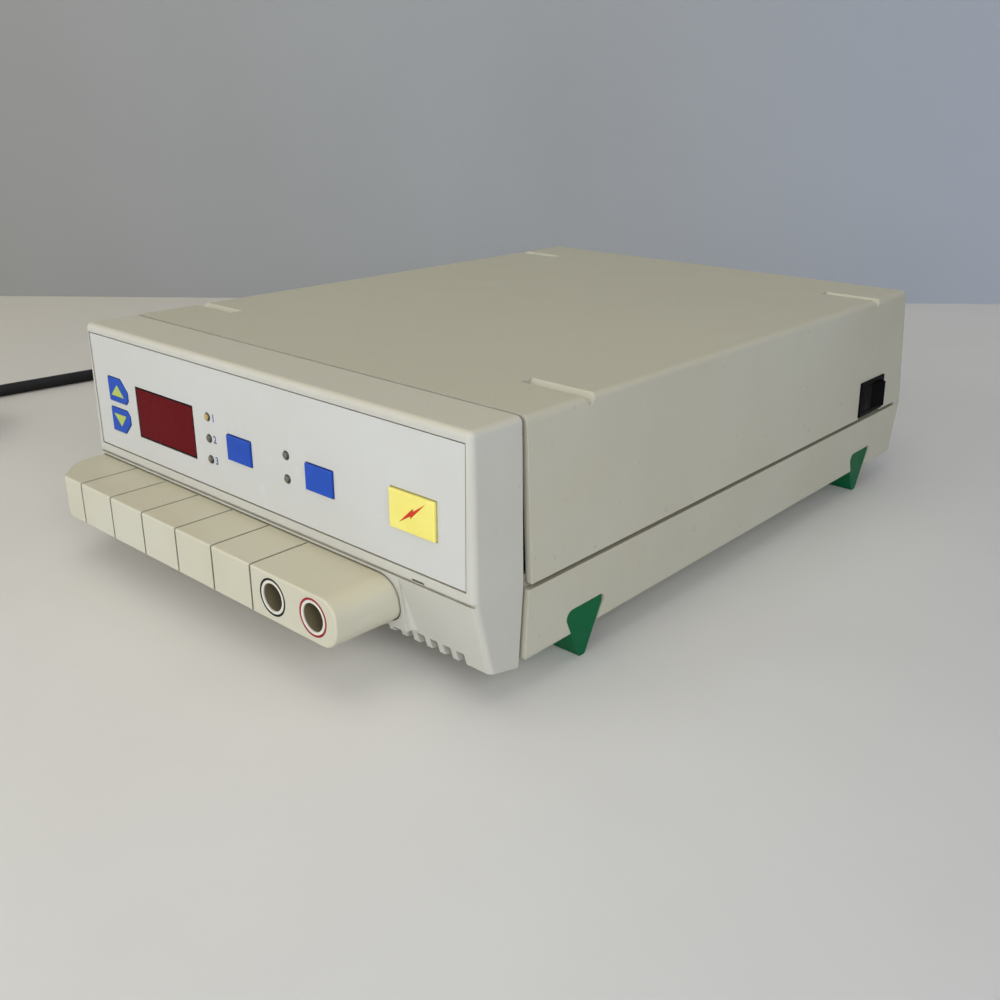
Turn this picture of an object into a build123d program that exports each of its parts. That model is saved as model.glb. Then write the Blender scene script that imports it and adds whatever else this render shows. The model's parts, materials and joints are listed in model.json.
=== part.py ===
from build123d import *
import math
import os

os.makedirs("parts", exist_ok=True)

# Bench electroporator: a low desk case with a control panel in its front bezel, an output
# ledge with two high-voltage sockets below the panel, four V-shaped feet and a mains cord.
# X runs to the right seen from the front, Y from the panel's face into the case, Z up from
# the table. The last lines move every piece, so that the origin is in the middle of the
# footprint, on the table. All sizes are in millimetres.

# ---- case: heights above the table, half width and depth at the seam, drafts ----
top_z = 91.1
seam_z = 36.8
seam_gap = 1.65
base_z = 10.5
case_half = 107.9
cover_draft = 2.1
base_draft = 1.1
case_front_y = 22.6
cover_front_lean = 1.2
case_rear_y = 307.3
cover_rear_draft = 6.3
base_rear_draft = 2.3
rear_corner_r = 3.0
cover_edge_r = 2.5
base_edge_r = 1.5
wall = 2.5
joint_clearance = 0.3
fit_clearance = 0.05
tongue_height = 2.4
tongue_wall = 1.5
tongue_root = 0.2
seam_stop = 9.0
seam_stop_gap = 0.1

top_half = case_half - cover_draft
base_half = case_half - base_draft
rear_top_y = case_rear_y - cover_rear_draft
rear_base_y = case_rear_y - base_rear_draft

# ---- feet, and the stacking grooves in the cover over them ----
foot_length = 25.0
foot_width = 23.2
foot_seat = 9.7
foot_flat = 3.0
foot_corner_r = 2.6
foot_tip_r = 1.0
foot_clearance = 0.25
foot_pocket_wall = 2.0
foot_recess = 0.6
foot_front_inset = 30.5
foot_rear_inset = 40.3
groove_width = 6.2
groove_depth = 3.7
groove_tip_r = 0.7
groove_reach = 26.4

foot_top_z = base_z + foot_seat
foot_front_y = case_front_y + foot_front_inset
foot_rear_y = case_rear_y - foot_rear_inset
groove_start = top_half - groove_reach

# ---- air slots over the rear edge of the cover ----
vent_count = 9
vent_pitch = 14.2
vent_width = 5.5
vent_drop = 8.5
vent_brow = 0.8

# ---- front bezel ----
bezel_gap = 1.2
bezel_top_step = 0.9
bezel_lip_step = 1.5
bezel_foot_step = 1.9
bezel_drop = 2.3
bezel_belly = 3.1
lip_rise = 1.2
face_y = -0.3
skirt_run = 9.4
bezel_edge_r = 2.2
front_wall = 3.5
skirt_wall = 2.6
lip_groove = 1.1
lip_groove_depth = 1.1
tab_width = 14.0
tab_reach = 7.0
tab_wall = 1.6
tab_x = 62.0

bezel_top_half = top_half - bezel_top_step
bezel_lip_half = case_half - bezel_lip_step
bezel_foot_half = base_half - bezel_foot_step
bezel_rear_y = case_front_y - bezel_gap
bezel_z = base_z - bezel_drop
lip_z = seam_z + lip_rise
wall_back_y = face_y + front_wall
skirt_foot_y = face_y + skirt_run
skirt_z = bezel_z + bezel_belly

# ---- comb of air notches along the skirt ----
comb_count = 33
comb_end = 11.6
comb_tooth = 2.4
comb_height = 4.1

comb_pitch = 2 * (bezel_foot_half - comb_end) / (comb_count - 1)
comb_notch = comb_pitch - comb_tooth
comb_top_z = skirt_z + comb_height

# ---- control panel ----
panel_side = 2.4
panel_rise = 4.0
panel_brow = 3.75
panel_wall = 1.2
panel_gap = 0.45

panel_half = bezel_top_half - panel_side
panel_z0 = lip_z + panel_rise
panel_height = top_z - panel_brow - panel_z0

# ---- keys and display, from the panel's left and lower edges ----
key_clearance = 0.3
key_travel = 0.7
arrow_key_inset = 17.1
arrow_key_width = 13.4
arrow_key_height = 9.6
arrow_key_gap = 2.8
arrow_key_cut = 4.6
arrow_key_small_cut = 1.8
arrow_key_proud = 0.5
arrow_key_rise = 12.4
window_gap = 6.2
window_width = 38.8
window_rise = 8.7
window_height = 20.1
window_wall = 1.6
window_sink = 0.1
window_clearance = 0.2
module_margin = 0.6
setting_lamp_gap = 9.4
setting_key_gap = 18.5
measure_lamp_gap = 17.2
blue_key_width = 13.4
blue_key_height = 9.2
blue_key_rise = 18.35
blue_key_proud = 0.9
pulse_key_inset = 21.3
pulse_key_width = 19.4
pulse_key_height = 12.7
pulse_key_rise = 18.75
pulse_key_proud = 1.1
key_edge_r = 0.35
key_flange = 1.0
key_flange_margin = 0.9
key_stop_gap = 0.1
key_post_side = 4.0
switch_side = 6.0
switch_body = 3.4
switch_plunger_side = 3.0
switch_plunger = 1.4
switch_gap = 0.15
lamp_r = 1.5
lamp_clearance = 0.15
lamp_proud = 0.3
lamp_slot_margin = 0.4
setting_lamp_rises = (26.8, 18.7, 10.7)
measure_lamp_rises = (22.8, 14.4)

arrow_key_x = arrow_key_inset - panel_half
window_x = arrow_key_x + arrow_key_width / 2 + window_gap
window_z = panel_z0 + window_rise
setting_lamp_x = window_x + window_width + setting_lamp_gap
setting_key_x = setting_lamp_x + setting_key_gap
pulse_key_x = panel_half - pulse_key_inset
measure_key_x = (setting_key_x + pulse_key_x) / 2
measure_lamp_x = measure_key_x - measure_lamp_gap

# ---- display board ----
board_y = 12.4
board_wall = 1.6
board_gap = 0.8
board_rise = 4.0
board_brow = 2.85
board_post_r = 3.0
board_post_inset = 3.5
stake_r = 1.35
stake_proud = 0.8
stake_clearance = 0.15

board_half = bezel_top_half - wall - board_gap
board_z0 = panel_z0 + board_rise
board_z1 = panel_z0 + panel_height - board_brow
switch_tip_y = board_y - switch_body - switch_plunger

# ---- output ledge, measured at its front face and drafted towards the case ----
ledge_reach = 24.0
ledge_drop = 1.9
ledge_height = 16.8
ledge_side = 1.0
ledge_stop = 33.2
ledge_end_r = 6.9
ledge_draft = 1.0
ledge_wall = 2.4
ledge_tail_y = 10.8
ledge_flange = 2.0
ledge_flange_margin = 2.6
ledge_edge_r = 0.7
ledge_gap = 0.4
nose_depth = 14.8
nose_run = 12.7
nose_bend_r = 16.0
nose_under_r = 2.5
ledge_groove = 0.9
ledge_groove_depth = 1.0
ledge_groove_gap = 11.3
ledge_groove_end = 12.7
ledge_groove_count = 6

ledge_front_y = -ledge_reach
ledge_z1 = lip_z - ledge_drop
ledge_z0 = ledge_z1 - ledge_height
ledge_left = ledge_side - bezel_foot_half
ledge_right = bezel_foot_half - ledge_stop
nose_side_y = ledge_front_y + nose_depth
nose_front_x = ledge_left + nose_run

# ---- collar of the bezel round the ledge ----
collar_side = 2.0
collar_under = 2.6
collar_lean = 3.1
collar_blend = 2.2
slit_gap = 9.0
slit_length = 5.4
slit_height = 0.6

collar_right = ledge_right + collar_side
collar_z0 = ledge_z0 - collar_under
slit_x = collar_right + slit_gap

# ---- output sockets ----
socket_inset = 10.8
socket_spacing = 20.1
socket_rise = 8.75
socket_bore_r = 4.8
socket_wall = 0.95
socket_depth = 22.0
socket_end = 4.0
ring_gap = 0.1
ring_width = 0.65
ring_wall = 0.5
contact_bore_r = 2.0
contact_wall = 1.0
contact_length = 17.0
contact_end = 2.0
boss_wall = 1.6

red_socket_x = ledge_right - socket_inset
black_socket_x = red_socket_x - socket_spacing
socket_z = ledge_z0 + socket_rise
socket_sleeve_r = socket_bore_r + socket_wall
ring_inner_r = socket_sleeve_r + ring_gap
ring_outer_r = ring_inner_r + ring_width
contact_r = contact_bore_r + contact_wall
ledge_groove_x = black_socket_x - ledge_groove_gap
ledge_groove_pitch = (ledge_groove_x - nose_front_x - ledge_groove_end) / (ledge_groove_count - 1)

# ---- power switch on the right side ----
switch_inset = 38.3
switch_lift = 0.9
switch_length = 25.0
switch_height = 16.2
switch_proud = 0.8
switch_rim = 2.0
switch_depth = 15.0
switch_edge_r = 0.5
rocker_clearance = 0.3
rocker_tilt = 8.0
rocker_pivot_depth = 3.6
rocker_face = 3.5
rocker_under = 2.2
rocker_pin_r = 1.2
rocker_pin = 1.2

switch_y = case_rear_y - switch_inset
switch_z = seam_z + seam_gap / 2 + switch_lift + switch_height / 2

# ---- rear panel and mains inlet ----
rear_panel_inset = 4.0
rear_panel_wall = 2.0
rear_panel_lap = 8.0
rear_panel_top_lap = 4.5
rear_opening_side = 23.9
rear_opening_drop = 13.6
rear_boss = 10.0
rear_boss_rise = 9.0
rear_screw_r = 1.4
rear_screw_head_r = 2.8
rear_screw_head = 1.8
rear_screw_bite = 6.0
inlet_inset = 29.0
inlet_drop = 27.5
inlet_rim = 2.3
inlet_flange_wall = 2.0
inlet_body_width = 27.4
inlet_body_depth = 20.0
inlet_recess_width = 24.6
inlet_recess_height = 17.0
inlet_recess_depth = 16.5
inlet_recess_cut = 4.6
inlet_margin = 2.4
inlet_divider = 2.3
drawer_width = 23.4
drawer_height = 8.8
drawer_clearance = 0.3
drawer_depth = 17.0
drawer_front = 2.2
drawer_floor = 1.0
fuse_r = 2.6
fuse_length = 20.0
pin_width = 4.0
pin_wall = 2.0
pin_length = 12.5
pin_spacing = 7.0
pin_drop = 3.9

rear_panel_y = rear_top_y - rear_panel_inset
rear_opening_half = case_half - rear_opening_side
rear_opening_z1 = top_z - rear_opening_drop
rear_panel_half = rear_opening_half + rear_panel_lap
rear_panel_z1 = rear_opening_z1 + rear_panel_top_lap
rear_boss_x = rear_opening_half - rear_boss
rear_boss_z = seam_z + rear_boss_rise
inlet_x = inlet_inset - rear_opening_half
inlet_z = rear_opening_z1 - inlet_drop

# ---- inside the case ----
case_post_inset = 10.8
case_post_front = 21.6
case_post_rear = 28.6
case_post_r = 4.2
case_post_rise = 7.0
case_screw_r = 1.9
case_screw_head_r = 3.4
case_screw_head = 2.4
case_screw_sink = 0.4
case_screw_length = 26.0
main_board_lift = 9.5
main_board_wall = 1.6
main_board_front = 10.0
main_board_rear = 8.0
main_post_r = 3.5
main_post_inset = 6.0
capacitor_width = 62.0
capacitor_margin = 14.0
capacitor_headroom = 20.5
terminal_r = 3.0
terminal_height = 7.0
transformer_core = (58.0, 22.0, 48.0)
transformer_coil = (38.0, 44.0, 32.0)
transformer_side = 36.0
transformer_rear = 32.0
resistor_size = (30.0, 24.0)
resistor_side = 26.0
resistor_gap = 27.0
fin_count = 6
fin_wall = 1.6
fin_depth = 12.0
step_up_size = (46.0, 34.0)
step_up_gap = 20.0
lead_r = 1.9
lead_sides = 8
lead_room = 8.0

case_post_x = base_half - case_post_inset
case_post_y = (foot_front_y + case_post_front, foot_rear_y - case_post_rear)
case_post_split_z = seam_z + case_post_rise
main_board_z = base_z + main_board_lift
main_board_half = case_post_x
main_board_y0 = case_post_y[0] + main_board_front
main_board_y1 = case_post_y[1] - main_board_rear
board_top = main_board_z + main_board_wall
capacitor_x = (black_socket_x + red_socket_x) / 2
capacitor_y = (main_board_y0 + main_board_y1) / 2
capacitor_size = (capacitor_width, main_board_y1 - main_board_y0 - 2 * capacitor_margin,
                  top_z - wall - capacitor_headroom - board_top)
transformer_x = transformer_side - main_board_half
transformer_y = main_board_y1 - transformer_rear
resistor_x = resistor_side - main_board_half
step_up_x = (resistor_x + resistor_size[0] / 2 + capacitor_x - capacitor_width / 2) / 2

# ---- mains cord ----
cord_diameter = 7.0
cord_sides = 8
connector_width = 27.0
connector_height = 18.6
connector_body = 24.0
connector_corner_r = 3.0
connector_clearance = 0.3
relief_length = 26.0
relief_end_r = 4.4
relief_root_r = 7.0
coil_gap = 0.6
coil_outer_r = 45.0
coil_centre = (-307.0, -15.0)
coil_half_turns_down = 4
coil_half_turns_up = 3
coil_tail = 26.0
plug_width = 27.0
plug_length = 38.0
plug_corner_r = 3.0
blade_width = 6.3
blade_wall = 1.5
blade_length = 17.0
blade_spacing = 12.7
ground_pin_r = 2.4
ground_pin_length = 20.5
ground_pin_offset = 11.9

x_far = case_half + 40.0
y_far = case_rear_y + 40.0


# ---- helpers ----
def block(x0, x1, y0, y1, z0, z1):
    centre = Pos((x0 + x1) / 2, (y0 + y1) / 2, (z0 + z1) / 2)
    return centre * Box(x1 - x0, y1 - y0, z1 - z0)


def prism_x(points, x0, x1):
    # a (Y, Z) outline drawn out along X
    outline = make_face(Polyline(*points, close=True))
    return extrude(Plane.YZ.offset(x0) * outline, x1 - x0)


def prism_y(sketch, y0, y1):
    # an (X, Z) sketch drawn out along Y
    return extrude(Plane.XZ.offset(-y1) * sketch, y1 - y0)


def prism_z(sketch, z0, z1):
    return extrude(Plane.XY.offset(z0) * sketch, z1 - z0)


def rod_y(x, z, r, y0, y1):
    return prism_y(Pos(x, z) * Circle(r), y0, y1)


def rod_z(x, y, r, z0, z1):
    return prism_z(Pos(x, y) * Circle(r), z0, z1)


def post_y(x, z, r, y0, y1):
    # a boss, stake or shank that is never seen: eight flats in place of a round
    return prism_y(Pos(x, z) * RegularPolygon(r, 8), y0, y1)


def post_z(x, y, r, z0, z1):
    return prism_z(Pos(x, y) * RegularPolygon(r, 8), z0, z1)


def mirror_x(solid):
    return mirror(solid, Plane.YZ)


def on_line(value, at0, value0, at1, value1):
    # straight-line reading between two known places
    return value0 + (value1 - value0) * (value - at0) / (at1 - at0)


# ---- case shell ----
def case_section(z, half, y0, y1, corner_r):
    plan = Pos(0, (y0 + y1) / 2) * Rectangle(2 * half, y1 - y0)
    rear = plan.vertices().group_by(Axis.Y)[-1]
    return Plane.XY.offset(z) * fillet(rear, corner_r)


def cover_half(z):
    return on_line(z, seam_z, case_half, top_z, top_half)


def cover_rear(z):
    return on_line(z, seam_z, case_rear_y, top_z, rear_top_y)


def cover_body(inset, z0, z1, front_shift):
    sections = []
    for z in (z0, z1):
        front = case_front_y + cover_front_lean * (top_z - z) / (top_z - seam_z) + front_shift
        sections.append(case_section(z, cover_half(z) - inset, front, cover_rear(z) - inset,
                                     rear_corner_r - inset / 2))
    return loft(sections, ruled=True)


def base_body(inset, z0, z1):
    sections = []
    for z in (z0, z1):
        half = on_line(z, base_z, base_half, seam_z, case_half) - inset
        rear = on_line(z, base_z, rear_base_y, seam_z, case_rear_y) - inset
        sections.append(case_section(z, half, case_front_y + inset, rear, rear_corner_r - inset / 2))
    return loft(sections, ruled=True)


def foot_outline(grow):
    # the V of a foot in (Y, Z), grown on all sides, with its two upper corners rounded
    half_top = foot_width / 2
    half_tip = foot_flat / 2
    outline = make_face(Polyline((-half_top, foot_top_z), (half_top, foot_top_z), (half_tip, 0),
                                 (-half_tip, 0), close=True))
    if grow:
        outline = offset(outline, grow, kind=Kind.INTERSECTION)
    return fillet(outline.vertices().group_by(Axis.Y)[-1], foot_corner_r + grow)


def foot_room(y, x0, x1, grow):
    return extrude(Plane.YZ.offset(x0) * (Pos(y, 0) * foot_outline(grow)), x1 - x0)


def groove_prism(y, x0, x1):
    half = groove_width / 2
    slope = half / groove_depth
    outline = [(y - half - slope, top_z + 1), (y + half + slope, top_z + 1), (y, top_z - groove_depth)]
    solid = prism_x(outline, x0, x1)
    tip = solid.edges().filter_by(Axis.X).sort_by(Axis.Z)[0]
    return fillet(tip, groove_tip_r)


case_post_places = [(x, y) for x in (-case_post_x, case_post_x) for y in case_post_y]


def top_cover():
    outer = cover_body(0, seam_z + seam_gap / 2, top_z, 0)
    rim = outer.edges().group_by(Axis.Z)[-1]
    rim = rim.filter_by(lambda edge: edge.center().Y > case_front_y + 1)
    outer = fillet(rim, cover_edge_r)
    cover = outer - cover_body(wall, seam_z - 1, top_z - wall, -4 * wall)
    keep = cover_body(wall / 2, seam_z, top_z - wall / 2, 1)
    for y in (foot_front_y, foot_rear_y):
        half = groove_width / 2 + wall
        floor_z = top_z - groove_depth - wall
        rib = block(groove_start - wall, x_far, y - half, y + half, floor_z, top_z)
        for side in (rib & keep, mirror_x(rib & keep)):
            cover = cover + side
        cut = groove_prism(y, groove_start, x_far)
        cover = cover - cut - mirror_x(cut)
    for x, y in case_post_places:
        cover = cover + post_z(x, y, case_post_r, case_post_split_z, top_z - wall / 2)
        cover = cover - post_z(x, y, case_screw_r, case_post_split_z - 1, base_z + case_screw_length + 2)
    seam_low = seam_z - seam_gap / 2 + seam_stop_gap
    stop = cover_body(0, seam_low, seam_z + seam_gap / 2, 0)
    stop = stop - cover_body(wall, seam_low - 1, seam_z + seam_gap, -4 * wall)
    cover = cover + (stop & block(-x_far, x_far, case_rear_y - seam_stop, y_far, 0, top_z))
    for i in range(vent_count):
        x = (i - (vent_count - 1) / 2) * vent_pitch
        cover = cover - block(x - vent_width / 2, x + vent_width / 2, rear_top_y - 2 * wall, y_far,
                              top_z - vent_drop, top_z - vent_brow)
    cover = cover - block(-rear_opening_half, rear_opening_half, rear_panel_y, y_far,
                          seam_z - seam_gap, rear_opening_z1)
    cut_half = switch_length / 2 - switch_rim / 2
    cut_z1 = switch_z + switch_height / 2 - switch_rim / 2
    cover = cover - block(case_half - 3 * wall, x_far, switch_y - cut_half, switch_y + cut_half,
                          seam_z, cut_z1)
    return cover


def tongue_strip():
    # shelf on the inside of the right wall, with the tongue that reaches up into the cover
    split = seam_z - seam_gap / 2
    low = split - 2 * wall
    top = seam_z + seam_gap / 2 + tongue_height
    outer = wall + joint_clearance
    inner = outer + tongue_wall
    low_x = on_line(low, base_z, base_half, seam_z, case_half) - wall + tongue_root
    split_x = on_line(split, base_z, base_half, seam_z, case_half) - outer
    outline = [(low_x, low), (split_x + outer - wall + tongue_root, split), (split_x, split),
               (case_half - outer, seam_z), (cover_half(top) - outer, top), (cover_half(top) - inner, top),
               (case_half - inner, seam_z), (split_x - tongue_wall, low + inner)]
    return prism_y(make_face(Polyline(*outline, close=True)), case_front_y + 1, rear_panel_y - wall)


def base_tray():
    split = seam_z - seam_gap / 2
    outer = base_body(0, base_z, split)
    rim = outer.edges().group_by(Axis.Z)[0]
    outer = fillet(rim, base_edge_r)
    tray = outer - base_body(wall, base_z + wall, seam_z + 5)
    tongue = tongue_strip()
    tray = tray + tongue + mirror_x(tongue)
    tray = tray - block(black_socket_x - lead_room, red_socket_x + lead_room, 0, case_front_y + 2 * wall,
                        ledge_z0, top_z)
    switch_half = switch_length / 2
    tray = tray - block(case_half - 3 * wall, case_half - wall, switch_y - switch_half,
                        switch_y + switch_half, split, top_z)
    for x in (-rear_boss_x, rear_boss_x):
        tray = tray + block(x - rear_boss / 2, x + rear_boss / 2, rear_panel_y - rear_boss, rear_panel_y,
                            base_z + wall / 2, rear_boss_z + rear_boss / 2)
        tray = tray - rod_y(x, rear_boss_z, rear_screw_r, rear_panel_y - rear_screw_bite - 1,
                            rear_panel_y + 1)
    inside = base_body(wall / 2, base_z + wall / 2, seam_z)
    pocket_in = base_half - foot_length
    for y in (foot_front_y, foot_rear_y):
        pocket = foot_room(y, pocket_in - foot_pocket_wall, x_far, foot_clearance + foot_pocket_wall)
        pocket = pocket & inside
        cut = foot_room(y, pocket_in - foot_clearance, x_far, foot_clearance)
        tray = tray + pocket + mirror_x(pocket)
        tray = tray - cut - mirror_x(cut)
    head_room = base_z + case_screw_head + joint_clearance
    for x, y in case_post_places:
        tray = tray + post_z(x, y, case_post_r, base_z + wall / 2, case_post_split_z - joint_clearance)
        tray = tray - post_z(x, y, case_screw_r + joint_clearance, 0, case_post_split_z)
        tray = tray - rod_z(x, y, case_screw_head_r + joint_clearance, 0, head_room)
    for x, y in main_post_places():
        tray = tray + post_z(x, y, main_post_r, base_z + wall / 2, main_board_z)
        tray = tray + post_z(x, y, stake_r, main_board_z - 1, board_top + stake_proud)
    return tray


def foot(y, side):
    outline = fillet(foot_outline(0).vertices().group_by(Axis.Y)[0], foot_tip_r)
    plane = Plane.YZ.offset(base_half - foot_length)
    solid = extrude(plane * (Pos(y, 0) * outline), foot_length - foot_recess)
    return solid if side > 0 else mirror_x(solid)


def case_screws():
    screws = []
    for x, y in case_post_places:
        head = rod_z(x, y, case_screw_head_r, base_z + case_screw_sink, base_z + case_screw_head)
        shank_r = case_screw_r - fit_clearance
        screws.append(head + post_z(x, y, shank_r, base_z + case_screw_head, base_z + case_screw_length))
    return Compound(screws)


# ---- front bezel ----
def bezel_front(inset, z_low, z_high):
    foot_half = bezel_foot_half - inset
    lip_half = bezel_lip_half - inset
    top = bezel_top_half - inset
    return make_face(Polyline((-foot_half, z_low), (-lip_half, lip_z), (-top, z_high), (top, z_high),
                              (lip_half, lip_z), (foot_half, z_low), close=True))


def skirt_y(z):
    return on_line(z, lip_z, face_y, bezel_z, skirt_foot_y)


def bezel_outer():
    # flat face down to the lip, skirt that slopes back, underside that falls to the rear
    outline = [(bezel_rear_y, top_z), (face_y, top_z), (face_y, lip_z), (skirt_y(skirt_z), skirt_z),
               (bezel_rear_y, bezel_z)]
    side = prism_x(outline, -x_far, x_far)
    front = prism_y(bezel_front(0, bezel_z, top_z), -5, bezel_rear_y)
    body = side & front

    def rounded(edge):
        centre = edge.center()
        on_face = abs(centre.Y - face_y) < 0.01 and centre.Z > lip_z + 1
        on_skirt = abs(centre.Y - skirt_y(centre.Z)) < 0.01 and abs(centre.X) > bezel_foot_half - 1
        on_skirt = on_skirt and skirt_z + 1 < centre.Z < lip_z - 1
        on_top = centre.Z > top_z - 0.01 and abs(centre.X) > 1
        return on_face or on_skirt or on_top

    return fillet(body.edges().filter_by(rounded), bezel_edge_r)


def key_outline(name, grow=0.0):
    # outline of a key in (X, Z) about its own centre
    if name in ("up_key", "down_key"):
        width = arrow_key_width / 2
        height = arrow_key_height / 2
        big = arrow_key_cut
        small = arrow_key_small_cut
        points = [(-width, -height), (width - small, -height), (width, small - height),
                  (width, height - big), (width - big, height), (-width, height)]
        sketch = make_face(Polyline(*points, close=True))
        if name == "down_key":
            sketch = mirror(sketch, Plane.XZ)
    else:
        width, height = key_sizes[name]
        sketch = Rectangle(width, height)
    if grow:
        sketch = offset(sketch, grow, kind=Kind.INTERSECTION)
    return sketch


key_sizes = {
    "up_key": (arrow_key_width, arrow_key_height),
    "down_key": (arrow_key_width, arrow_key_height),
    "settings_key": (blue_key_width, blue_key_height),
    "measurement_key": (blue_key_width, blue_key_height),
    "pulse_key": (pulse_key_width, pulse_key_height),
}
arrow_key_pitch = arrow_key_height + arrow_key_gap
key_places = {
    "up_key": (arrow_key_x, panel_z0 + arrow_key_rise + arrow_key_pitch),
    "down_key": (arrow_key_x, panel_z0 + arrow_key_rise),
    "settings_key": (setting_key_x, panel_z0 + blue_key_rise),
    "measurement_key": (measure_key_x, panel_z0 + blue_key_rise),
    "pulse_key": (pulse_key_x, panel_z0 + pulse_key_rise),
}
key_proud = {
    "up_key": arrow_key_proud,
    "down_key": arrow_key_proud,
    "settings_key": blue_key_proud,
    "measurement_key": blue_key_proud,
    "pulse_key": pulse_key_proud,
}
lamp_places = [(setting_lamp_x, panel_z0 + rise) for rise in setting_lamp_rises]
lamp_places += [(measure_lamp_x, panel_z0 + rise) for rise in measure_lamp_rises]


def key_cut(name, y0, y1):
    x, z = key_places[name]
    return prism_y(Pos(x, z) * key_outline(name, key_clearance), y0, y1)


def window_sketch(grow):
    width = window_width + 2 * grow
    height = window_height + 2 * grow
    return Pos(window_x + window_width / 2, window_z + window_height / 2) * Rectangle(width, height)


def panel_sketch(grow):
    middle_z = panel_z0 + panel_height / 2
    return Pos(0, middle_z) * Rectangle(2 * (panel_half + grow), panel_height + 2 * grow)


def board_post_places():
    return [(side * (board_half - board_post_inset), z) for side in (-1, 1)
            for z in (board_z0 + board_post_inset, board_z1 - board_post_inset)]


def collar_hollow(top):
    # hollow blend from the collar's flank to the skirt, running out to a point at the lip
    root = skirt_y(collar_z0)
    points = []
    for i in range(5):
        angle = math.pi - i * math.pi / 8
        points.append(Vector(collar_right + collar_blend * (1 + math.cos(angle)),
                             root - collar_blend * (1 - math.sin(angle)), collar_z0))
    points.append(Vector(collar_right + collar_blend, root + 1, collar_z0))
    points.append(Vector(collar_right - 1, root + 1, collar_z0))
    points.append(Vector(collar_right - 1, root - collar_blend, collar_z0))
    tip = Vertex(collar_right - 0.1, skirt_y(top) + 0.15, top - 0.1)
    return Solid.make_loft([Wire.make_polygon(points, close=True), tip], True)


def collar():
    # block round the ledge that leans back a little, with a hollow blend to the sloping skirt
    top = lip_z - lip_groove / 2
    front = skirt_y(top)
    side = prism_x([(front, top), (front + collar_lean, collar_z0),
                    (skirt_y(collar_z0) + skirt_wall / 2, collar_z0), (front + skirt_wall / 2, top)],
                   -x_far, collar_right)
    bezel_space = prism_y(bezel_front(0.5, bezel_z, top_z), -5, bezel_rear_y)
    return (side & bezel_space) + collar_hollow(top)


def front_bezel():
    bezel = bezel_outer() + collar()
    inner_side = prism_x([(bezel_rear_y + 1, top_z - wall), (wall_back_y, top_z - wall),
                          (wall_back_y, lip_z), (skirt_foot_y + skirt_wall, bezel_z - 1),
                          (bezel_rear_y + 1, bezel_z - 1)], -x_far, x_far)
    inner_front = prism_y(bezel_front(wall, bezel_z - 1, top_z - 1), -5, bezel_rear_y + 1)
    bezel = bezel - (inner_side & inner_front)
    groove_z = lip_z + lip_groove / 2
    bezel = bezel - block(-x_far, x_far, face_y - 1, face_y + lip_groove_depth,
                          groove_z - lip_groove, groove_z)
    bezel = bezel - block(slit_x - slit_length / 2, slit_x + slit_length / 2, face_y - 1,
                          face_y + 2 * lip_groove_depth, groove_z, groove_z + slit_height)
    bezel = bezel - prism_y(panel_sketch(panel_gap), -5, panel_wall)
    bezel = bezel - prism_y(window_sketch(window_clearance + module_margin), -1, wall_back_y + 1)
    for name in key_places:
        bezel = bezel - key_cut(name, -1, wall_back_y + 1)
    half = lamp_r + lamp_slot_margin
    for x, rises in ((setting_lamp_x, setting_lamp_rises), (measure_lamp_x, measure_lamp_rises)):
        bezel = bezel - block(x - half, x + half, face_y - 1, wall_back_y + 1,
                              panel_z0 + min(rises) - half, panel_z0 + max(rises) + half)
    for x, z in board_post_places():
        bezel = bezel + post_y(x, z, board_post_r, wall_back_y - 0.5, board_y)
        bezel = bezel + post_y(x, z, stake_r, board_y - 1, board_y + board_wall + stake_proud)
    bezel = bezel - prism_y(ledge_profile(0, ledge_gap), -3, skirt_foot_y + 2 * skirt_wall)
    for i in range(comb_count):
        x = (i - (comb_count - 1) / 2) * comb_pitch
        bezel = bezel - block(x - comb_notch / 2, x + comb_notch / 2, 0, bezel_rear_y + 1,
                              bezel_z - 1, comb_top_z)
    for x in (-tab_x, tab_x):
        tab_z1 = top_z - wall - joint_clearance
        bezel = bezel + block(x - tab_width / 2, x + tab_width / 2, bezel_rear_y - tab_reach,
                              case_front_y + tab_reach, tab_z1 - tab_wall, tab_z1)
        bezel = bezel + block(x - tab_width / 2, x + tab_width / 2, bezel_rear_y - tab_reach,
                              bezel_rear_y - 1, tab_z1 - tab_wall, top_z - wall / 2)
    return bezel


def control_panel():
    panel = prism_y(panel_sketch(0), 0, panel_wall)
    panel = panel - prism_y(window_sketch(window_clearance), -1, panel_wall + 1)
    for name in key_places:
        panel = panel - key_cut(name, -1, panel_wall + 1)
    for x, z in lamp_places:
        panel = panel - rod_y(x, z, lamp_r + lamp_clearance, -1, panel_wall + 1)
    return panel


def display_window():
    return prism_y(window_sketch(0), window_sink, window_wall)


def display_module():
    return prism_y(window_sketch(-module_margin), window_wall + 0.3, board_y)


def key(name):
    x, z = key_places[name]
    stop_y = wall_back_y + key_stop_gap
    cap = prism_y(Pos(x, z) * key_outline(name), -key_proud[name], stop_y + key_flange)
    cap = fillet(cap.faces().sort_by(Axis.Y)[0].edges(), key_edge_r)
    width, height = key_sizes[name]
    flange = Pos(x, z) * Rectangle(width + 2 * key_flange_margin, height + 2 * key_flange_margin)
    post = Pos(x, z) * Rectangle(key_post_side, key_post_side)
    cap = cap + prism_y(flange, stop_y, stop_y + key_flange)
    return cap + prism_y(post, stop_y, switch_tip_y - key_travel - switch_gap)


def key_switches():
    switches = []
    for x, z in key_places.values():
        body = prism_y(Pos(x, z) * Rectangle(switch_side, switch_side), board_y - switch_body, board_y)
        plunger = Pos(x, z) * Rectangle(switch_plunger_side, switch_plunger_side)
        switches.append(body + prism_y(plunger, switch_tip_y, board_y - switch_body))
    return Compound(switches)


def indicator_lamps():
    lamps = []
    for x, z in lamp_places:
        lamps.append(prism_y(Pos(x, z) * RegularPolygon(lamp_r, 12), -lamp_proud, board_y))
    return Compound(lamps)


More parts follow.
